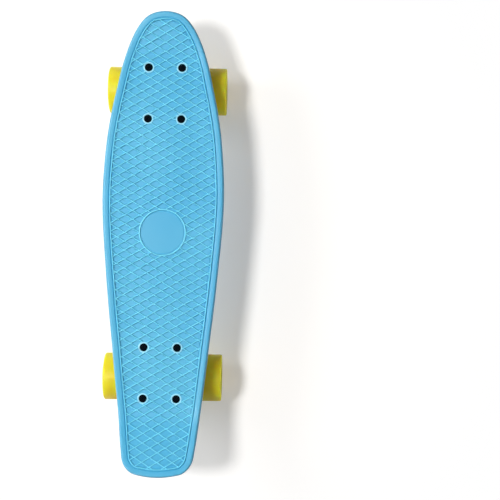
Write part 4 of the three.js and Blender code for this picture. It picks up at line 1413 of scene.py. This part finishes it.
def make_truck(truck):
    at_truck = truck_matrix(truck)
    on_kingpin = at_truck @ ON_KINGPIN
    lower = washer_mesh(LOWER_WASHER_START, BOTTOM_BUSHING_RADIUS + SEAT_GAP, -1)
    upper = washer_mesh(TOP_WASHER_START, TOP_BUSHING_NARROW + SEAT_GAP, 1)
    for name, mesh, matrix, finish, slot, sharp in (
        ("baseplate", baseplate_mesh(), at_truck, "nickel", "truck_metal", CAST_SHARP),
        ("kingpin", kingpin_mesh(), on_kingpin, "machined", "kingpin_steel", SHARP),
        ("bottom_washer", lower, on_kingpin, "nickel", "washer_metal", SHARP),
        ("top_washer", upper, on_kingpin, "bright", "washer_metal", SHARP),
        ("pivot_cup", pivot_cup_mesh(), at_truck @ ON_STEER, "cup", "pivot_cup_plastic", SHARP),
        ("hanger", hanger_mesh(), at_truck, "nickel", "truck_metal", CAST_SHARP),
        ("axle", axle_mesh(), at_truck @ ON_AXLE, "machined", "kingpin_steel", SHARP),
    ):
        dress_and_ride(f"{truck}_{name}", mesh, matrix, [finish], slot, sharp)
    for bushing in BUSHINGS:
        dress_bushing(truck, on_kingpin, *bushing)
    nut = lock_nut_mesh(KINGPIN_NUT_FLATS, KINGPIN_NUT_HEIGHT, KINGPIN_RADIUS)
    at_nut = on_kingpin @ Matrix.Translation((0, 0, -KINGPIN_NUT_START - KINGPIN_NUT_HEIGHT))
    dress_nut(f"{truck}_kingpin_nut", nut, at_nut)
    for side_name, side in (("left", -1), ("right", 1)):
        name = f"{truck}_{side_name}"
        facing = Matrix.Rotation(side * math.pi / 2, 4, "Y")
        dress_wheel_set(name, Matrix.Translation(middle_of(f"{name}_wheel")) @ facing)


# Studio
def stage_finish():
    """White where the camera or a reflection sees it, with the object's own shadow kept near it."""
    material = bpy.data.materials.new("studio_floor")
    material.use_nodes = True
    tree = material.node_tree
    tree.nodes.clear()
    paper = add_node(tree, "BsdfDiffuse", {"Color": FLOOR_PAPER})
    glow = add_node(tree, "Emission", {
        "Color": FLOOR_GLOW_COLOUR, "Strength": seen_strength(tree, FLOOR_GLOW)})
    near = add_node(tree, "AddShader", {0: paper.outputs["BSDF"], 1: glow.outputs["Emission"]})
    white = add_node(tree, "Emission", {"Strength": seen_strength(tree, 1)})
    place = add_node(tree, "TexCoord").outputs["Object"]
    distance = add_node(tree, "VectorMath", {0: place}, operation="LENGTH")
    far = add_node(tree, "MapRange", {
        "Value": distance.outputs["Value"], "From Min": FLOOR_FADE[0], "From Max": FLOOR_FADE[1],
    }, interpolation_type="SMOOTHSTEP")
    whole = add_node(tree, "MixShader", {
        "Fac": far.outputs["Result"], 1: near.outputs["Shader"], 2: white.outputs["Emission"]})
    add_node(tree, "OutputMaterial", {"Surface": whole.outputs["Shader"]})
    return material


def seen_strength(tree, strength):
    """A strength for rays from the camera, reflections and glass, and none for all other rays."""
    path = add_node(tree, "LightPath")
    seen = path.outputs["Is Camera Ray"]
    for kind in ("Is Glossy Ray", "Is Transmission Ray"):
        either = add_node(tree, "Math", {0: seen, 1: path.outputs[kind]}, operation="MAXIMUM")
        seen = either.outputs["Value"]
    return add_node(tree, "MapRange", {"Value": seen, "To Max": strength}).outputs["Result"]


def make_stage():
    corners = [(x * FLOOR_REACH, y * FLOOR_REACH, 0) for x, y in ((-1, -1), (1, -1), (1, 1), (-1, 1))]
    mesh = bpy.data.meshes.new("studio_floor")
    mesh.from_pydata(corners, [], [(0, 1, 2, 3)])
    mesh.materials.append(stage_finish())
    linked("studio_floor", mesh)


def make_world():
    world = bpy.data.worlds.new("studio")
    world.use_nodes = True
    tree = world.node_tree
    sky = tree.nodes["Background"].inputs
    sky["Color"].default_value = (1, 1, 1, 1)
    place = add_node(tree, "TexCoord").outputs["Generated"]
    parts = add_node(tree, "SeparateXYZ", {"Vector": place})
    mirrored = add_node(tree, "MapRange", {
        "Value": parts.outputs["X"], "From Min": -1,
        "To Min": WORLD_REFLECTION[0], "To Max": WORLD_REFLECTION[1]})
    path = add_node(tree, "LightPath")
    lit = add_node(tree, "Mix", {
        "Factor": path.outputs["Is Glossy Ray"], "A": WORLD_LIGHT, "B": mirrored.outputs["Result"]})
    seen = add_node(tree, "Mix", {
        "Factor": path.outputs["Is Camera Ray"], "A": lit.outputs["Result"], "B": 1})
    tree.links.new(seen.outputs["Result"], sky["Strength"])
    bpy.context.scene.world = world


def make_lamps():
    for name, place, size, power in LAMPS:
        light = bpy.data.lights.new(name, "AREA")
        light.shape = "DISK"
        light.size = size
        light.energy = power
        lamp = linked(name, light)
        lamp.location = place
        lamp.rotation_euler = (-Vector(place)).to_track_quat("-Z", "Y").to_euler()


def make_camera():
    camera = bpy.data.cameras.new("portrait")
    camera.sensor_width = CAMERA_SENSOR
    camera.lens = CAMERA_LENS
    camera.clip_start, camera.clip_end = CAMERA_CLIPS
    view = linked("portrait", camera)
    view.location = Vector(CAMERA_PLACE) * MM
    view.rotation_euler = (0, 0, math.pi + CAMERA_SLANT)
    bpy.context.scene.camera = view


make_camera()
make_world()
make_stage()
make_lamps()
make_deck()
make_deck_fasteners()
make_truck("front")
make_truck("rear")

bpy.context.scene.view_settings.view_transform = "Standard"
